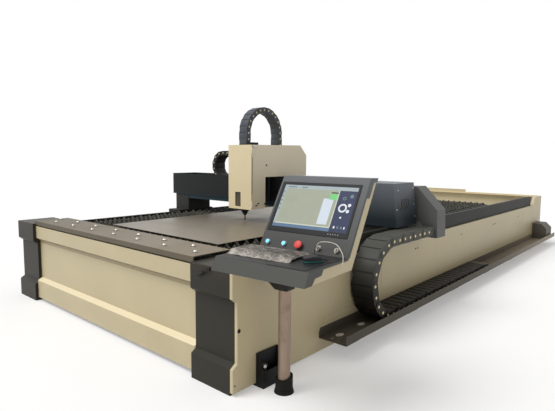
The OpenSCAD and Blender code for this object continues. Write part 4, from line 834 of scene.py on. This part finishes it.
makeStopHead(stopSpec)


# a flat outline, pushed to a closed bar
def pushFace(bm, corners, way):
    face = bm.faces.new([bm.verts.new(corner) for corner in corners])
    pushed = bmesh.ops.extrude_face_region(bm, geom=[face])["geom"]
    bmesh.ops.translate(bm, verts=[v for v in pushed if isinstance(v, bmesh.types.BMVert)], vec=way)
    bmesh.ops.recalc_face_normals(bm, faces=bm.faces)


# gusset under the desk, from the bracket down the tube
gussetSpec = {"low": 0.652, "knee": 0.730, "top": 0.7888, "reach": 0.100, "around": 0.006, "ahead": 0.006,
              "bevel": 0.002}


def makeGusset(spec):
    low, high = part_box("support_tube")
    radius, middle = (high[0] - low[0]) / 2, (low[0] + high[0]) / 2
    left, right = middle - radius - spec["around"], middle + radius + spec["around"]
    tip, ahead = left - spec["reach"], radius + spec["ahead"]
    front = (low[1] + high[1]) / 2 - radius - spec["ahead"]
    outline = [(left, spec["low"]), (right, spec["low"]), (right, spec["top"]), (tip, spec["top"]),
               (tip, spec["knee"])]
    bm = bmesh.new()
    pushFace(bm, [(x, front, z) for x, z in outline], (0, 2 * ahead, 0))
    bmesh.ops.bevel(bm, geom=bm.edges[:], offset=spec["bevel"], affect="EDGES", segments=2, profile=0.5,
                    material=-1)
    bmesh.ops.transform(bm, verts=bm.verts, matrix=deskTurn)
    settle(bm, "deskGusset", ["guardDark"], "bed")


makeGusset(gussetSpec)
print("stop head and gusset made")


# small fittings on the head cover: door seal, lock, latch, window, cable clamp and hose stubs
headSpec = {
    "seal": ((0.2196, -2.0905, 1.067), (0.2214, -2.0862, 1.456)), "sealBevel": 0.0006,
    "clamp": ((0.118, -2.066, 1.5785), (0.196, -1.972, 1.604)), "clampBevel": 0.004,
    "lock": {"place": (0.2203, -1.875, 1.367), "radius": 0.009, "deep": 0.006},
    "stubs": [(0.2200, -2.034, 0.947), (0.2200, -2.005, 0.966), (0.2200, -1.902, 0.958)],
    "stubSize": {"radius": 0.007, "deep": 0.016},
    "latch": [((0.2197, -2.084, 1.548), (0.2235, -2.018, 1.576), 0.001),
              ((0.2235, -2.076, 1.556), (0.2300, -2.030, 1.568), 0.0025)],
    "window": {"x": (-0.017, 0.064), "z": (0.934, 1.084), "front": -2.1046, "pane": -2.1008, "rim": 0.0055,
               "clear": 0.0004, "thick": 0.0006, "rimBevel": 0.0006},
}
# what turned stubs share: taper, how far they sink in, size and depth of the dish in their crown
stubSpec = {"taper": 0.86, "sink": 0.0004, "dish": 0.45, "dishDeep": 0.25}


# a turned stub that stands out along x
def addStub(bm, place, radius, deep):
    x, y, z = place
    stand = (Matrix.Translation((x + deep / 2 - stubSpec["sink"], y, z))
             @ Matrix.Rotation(math.radians(90), 4, "Y"))
    made = bmesh.ops.create_cone(bm, cap_ends=True, segments=20, radius1=radius,
                                 radius2=radius * stubSpec["taper"], depth=deep, matrix=stand)
    faces = {f for v in made["verts"] for f in v.link_faces}
    crown = [f for f in faces if len(f.verts) > 4 and f.normal.x > 0.9]
    bmesh.ops.inset_region(bm, faces=crown, thickness=radius * stubSpec["dish"],
                           depth=-deep * stubSpec["dishDeep"])


def makeHeadFittings(spec):
    bm = bmesh.new()
    addBox(bm, *spec["seal"], spec["sealBevel"])
    addBox(bm, *spec["clamp"], spec["clampBevel"])
    addStub(bm, **spec["lock"])
    for place in spec["stubs"]:
        addStub(bm, place, **spec["stubSize"])
    settle(bm, "headFittings", ["motorBlack"], "head")
    bm = bmesh.new()
    for low, high, bevel in spec["latch"]:
        addBox(bm, low, high, bevel)
    settle(bm, "headLatch", ["turnedSteel"], "head")


def makeWindow(spec):
    bm = bmesh.new()
    (x0, x1), (z0, z1), rim = spec["x"], spec["z"], spec["rim"]
    pane, clear = spec["pane"], spec["clear"]
    addBox(bm, (x0 + clear, pane, z0 + clear), (x1 - clear, pane + spec["thick"], z1 - clear))
    strips = (((x0, z0), (x0 + rim, z1)), ((x1 - rim, z0), (x1, z1)),
              ((x0, z0), (x1, z0 + rim)), ((x0, z1 - rim), (x1, z1)))
    for low, high in strips:
        addBox(bm, (low[0], spec["front"], low[1]), (high[0], pane, high[1]), spec["rimBevel"], 1)
    settle(bm, "doorWindow", ["smokedPane", "rubber"], "door")


# smoked pane: brown, glossy, paler towards its foot
def paneFinish():
    f = Finish("smokedPane", IOR=1.5)
    height = f.ramp(f.axis("Z") + (f.noise(14.0, 3.0) - 0.5) * 0.05, 0.95, 1.06)
    f.feed("Base Color", f.blendTone(height, tone(98, 86, 70), tone(56, 48, 40)))
    f.feed("Roughness", 0.14 + f.noise(90.0, 3.0) * 0.12)
    return f


finishes["smokedPane"] = paneFinish()
makeHeadFittings(headSpec)
makeWindow(headSpec["window"])
print("head fitted")


# bronze mesh behind the slots of the beam's end cover, and the screws in its leaning wall
ventSpec = {"y": (-1.705, -1.385), "z": (0.945, 1.120), "behind": 0.0062, "thick": 0.0012}
# height and x of the wall's upper and lower edge
coverWall = ((1.224, 1.640), (0.832, 1.683))
# inset from the cover's front, or less than nothing from its rear, and the heights there
coverScrewSpec = {"columns": {0.028: (0.990,), 0.075: (1.160,), -0.028: (1.172, 1.02, 0.905)},
                  "radius": 0.0065, "deep": 0.0035}


def wallAt(z):
    (topZ, topX), (lowZ, lowX) = coverWall
    return lowX + (z - lowZ) / (topZ - lowZ) * (topX - lowX)


def makeVentMesh(spec):
    (y0, y1), (z0, z1) = spec["y"], spec["z"]
    bm = bmesh.new()
    outline = ((y0, z0), (y1, z0), (y1, z1), (y0, z1))
    face = bm.faces.new([bm.verts.new((wallAt(z) - spec["behind"], y, z)) for y, z in outline])
    bmesh.ops.solidify(bm, geom=[face], thickness=spec["thick"])
    bmesh.ops.recalc_face_normals(bm, faces=bm.faces)
    settle(bm, "ventMesh", ["bronze"], "gantry")


def makeCoverScrews(spec):
    bm = bmesh.new()
    front, rear = (corner[1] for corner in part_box("end_cover"))
    for inset, heights in spec["columns"].items():
        for z in heights:
            y = (front if inset > 0 else rear) + inset
            addStub(bm, (wallAt(z), y, z), spec["radius"], spec["deep"])
    bmesh.ops.recalc_face_normals(bm, faces=bm.faces)
    settle(bm, "coverScrews", ["turnedSteel"], "gantry")


makeVentMesh(ventSpec)
makeCoverScrews(coverScrewSpec)
print("vents backed")


# dark screws along the side panels, and the lock of the front one
screwSpec = {"side": 1.637, "high": 0.57, "along": (-1.253, -1.201, -0.044, 1.112, 1.201, 2.314),
             "radius": 0.0085, "deep": 0.004, "lock": (-3.647, 0.401), "lockRadius": 0.0135,
             "merge": 0.00001}


def makeScrews(spec):
    bm = bmesh.new()
    for y in spec["along"]:
        addStub(bm, (spec["side"], y, spec["high"]), spec["radius"], spec["deep"])
    everything = bm.verts[:] + bm.edges[:] + bm.faces[:]
    bmesh.ops.mirror(bm, geom=everything, axis="X", merge_dist=spec["merge"])
    addStub(bm, (spec["side"], *spec["lock"]), spec["lockRadius"], spec["deep"])
    bmesh.ops.recalc_face_normals(bm, faces=bm.faces)
    settle(bm, "panelScrews", ["motorBlack"], "bed")


makeScrews(screwSpec)
print("screws set")


# folded strip under the beam
skirtSpec = {"reach": 1.42, "set": 0.012, "low": 0.916, "deep": 0.05, "lip": 0.014, "sheet": 0.004}


def makeSkirt(spec):
    edge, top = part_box("gantry_beam")[0][1:]
    front, bottom, sheet = edge + spec["set"], spec["low"], spec["sheet"]
    rear, lip = front + spec["deep"], bottom + spec["lip"]
    outline = [(front, top), (front, bottom), (rear, bottom), (rear, lip), (rear - sheet, lip),
               (rear - sheet, bottom + sheet), (front + sheet, bottom + sheet), (front + sheet, top)]
    bm = bmesh.new()
    pushFace(bm, [(-spec["reach"], y, z) for y, z in outline], (2 * spec["reach"], 0, 0))
    settle(bm, "beamSkirt", ["skirtTeal"], "gantry")


makeSkirt(skirtSpec)
print("strip hung")


# light and stage
lightSpec = {"sky": 0.5, "sun": 2.25, "sunFrom": (-0.30, -0.46, 0.83), "spread": 35}
floorSpec = {"radius": 40, "drop": 0.0005, "glow": 0.3, "fade": (4.6, 8.5)}


def makeLight(spec):
    world = bpy.data.worlds.new("studio")
    bpy.context.scene.world = world
    world.use_nodes = True
    tree = world.node_tree
    plain = tree.nodes["Background"]
    plain.inputs["Color"].default_value = (1, 0.985, 0.96, 1)
    plain.inputs["Strength"].default_value = spec["sky"]
    seen = tree.nodes.new("ShaderNodeBackground")
    seen.inputs["Color"].default_value = (1, 1, 1, 1)
    path = tree.nodes.new("ShaderNodeLightPath")
    either = None
    for kind in ("Is Camera Ray", "Is Glossy Ray", "Is Transmission Ray"):
        more = tree.nodes.new("ShaderNodeMath")
        more.operation = "MAXIMUM"
        tree.links.new(path.outputs[kind], more.inputs[0])
        if either:
            tree.links.new(either.outputs[0], more.inputs[1])
        else:
            more.inputs[1].default_value = 0
        either = more
    choose = tree.nodes.new("ShaderNodeMixShader")
    tree.links.new(either.outputs[0], choose.inputs[0])
    tree.links.new(plain.outputs[0], choose.inputs[1])
    tree.links.new(seen.outputs[0], choose.inputs[2])
    tree.links.new(choose.outputs[0], tree.nodes["World Output"].inputs["Surface"])
    sun = bpy.data.lights.new("softSun", "SUN")
    sun.energy = spec["sun"]
    sun.angle = math.radians(spec["spread"])
    lamp = bpy.data.objects.new("softSun", sun)
    lamp.rotation_euler = Vector(spec["sunFrom"]).to_track_quat("Z", "Y").to_euler()
    bpy.context.scene.collection.objects.link(lamp)


# the floor glows more with distance, so that its rim melts into the background
def makeFloor(spec):
    f = Finish("paleFloor", Roughness=0.9)
    f.feed("Base Color", f.blendTone(f.noise(0.8, 2.0), (0.90, 0.90, 0.90, 1), (0.94, 0.94, 0.94, 1)))
    reach = f.node("ShaderNodeVectorMath", out="Value", settings={"operation": "LENGTH"},
                   sockets={0: f.place})
    glow = f.node("ShaderNodeEmission", sockets={"Color": (1, 1, 1, 1), "Strength": 1.0})
    share = spec["glow"] + f.ramp(reach, *spec["fade"]) * (1 - spec["glow"])
    blend = f.node("ShaderNodeMixShader", sockets={0: share})
    mixer = blend.socket.node
    f.tree.links.new(f.shader.outputs[0], mixer.inputs[1])
    f.tree.links.new(glow.socket, mixer.inputs[2])
    f.tree.links.new(mixer.outputs[0], f.tree.nodes["Material Output"].inputs["Surface"])
    bm = bmesh.new()
    bmesh.ops.create_circle(bm, cap_ends=True, radius=spec["radius"], segments=64)
    mesh = bpy.data.meshes.new("floor")
    bm.to_mesh(mesh)
    bm.free()
    mesh.materials.append(f.material)
    floor = bpy.data.objects.new("floor", mesh)
    bpy.context.scene.collection.objects.link(floor)
    floor.location.z = -spec["drop"]


makeLight(lightSpec)
makeFloor(floorSpec)
bpy.context.scene.view_settings.view_transform = "Standard"
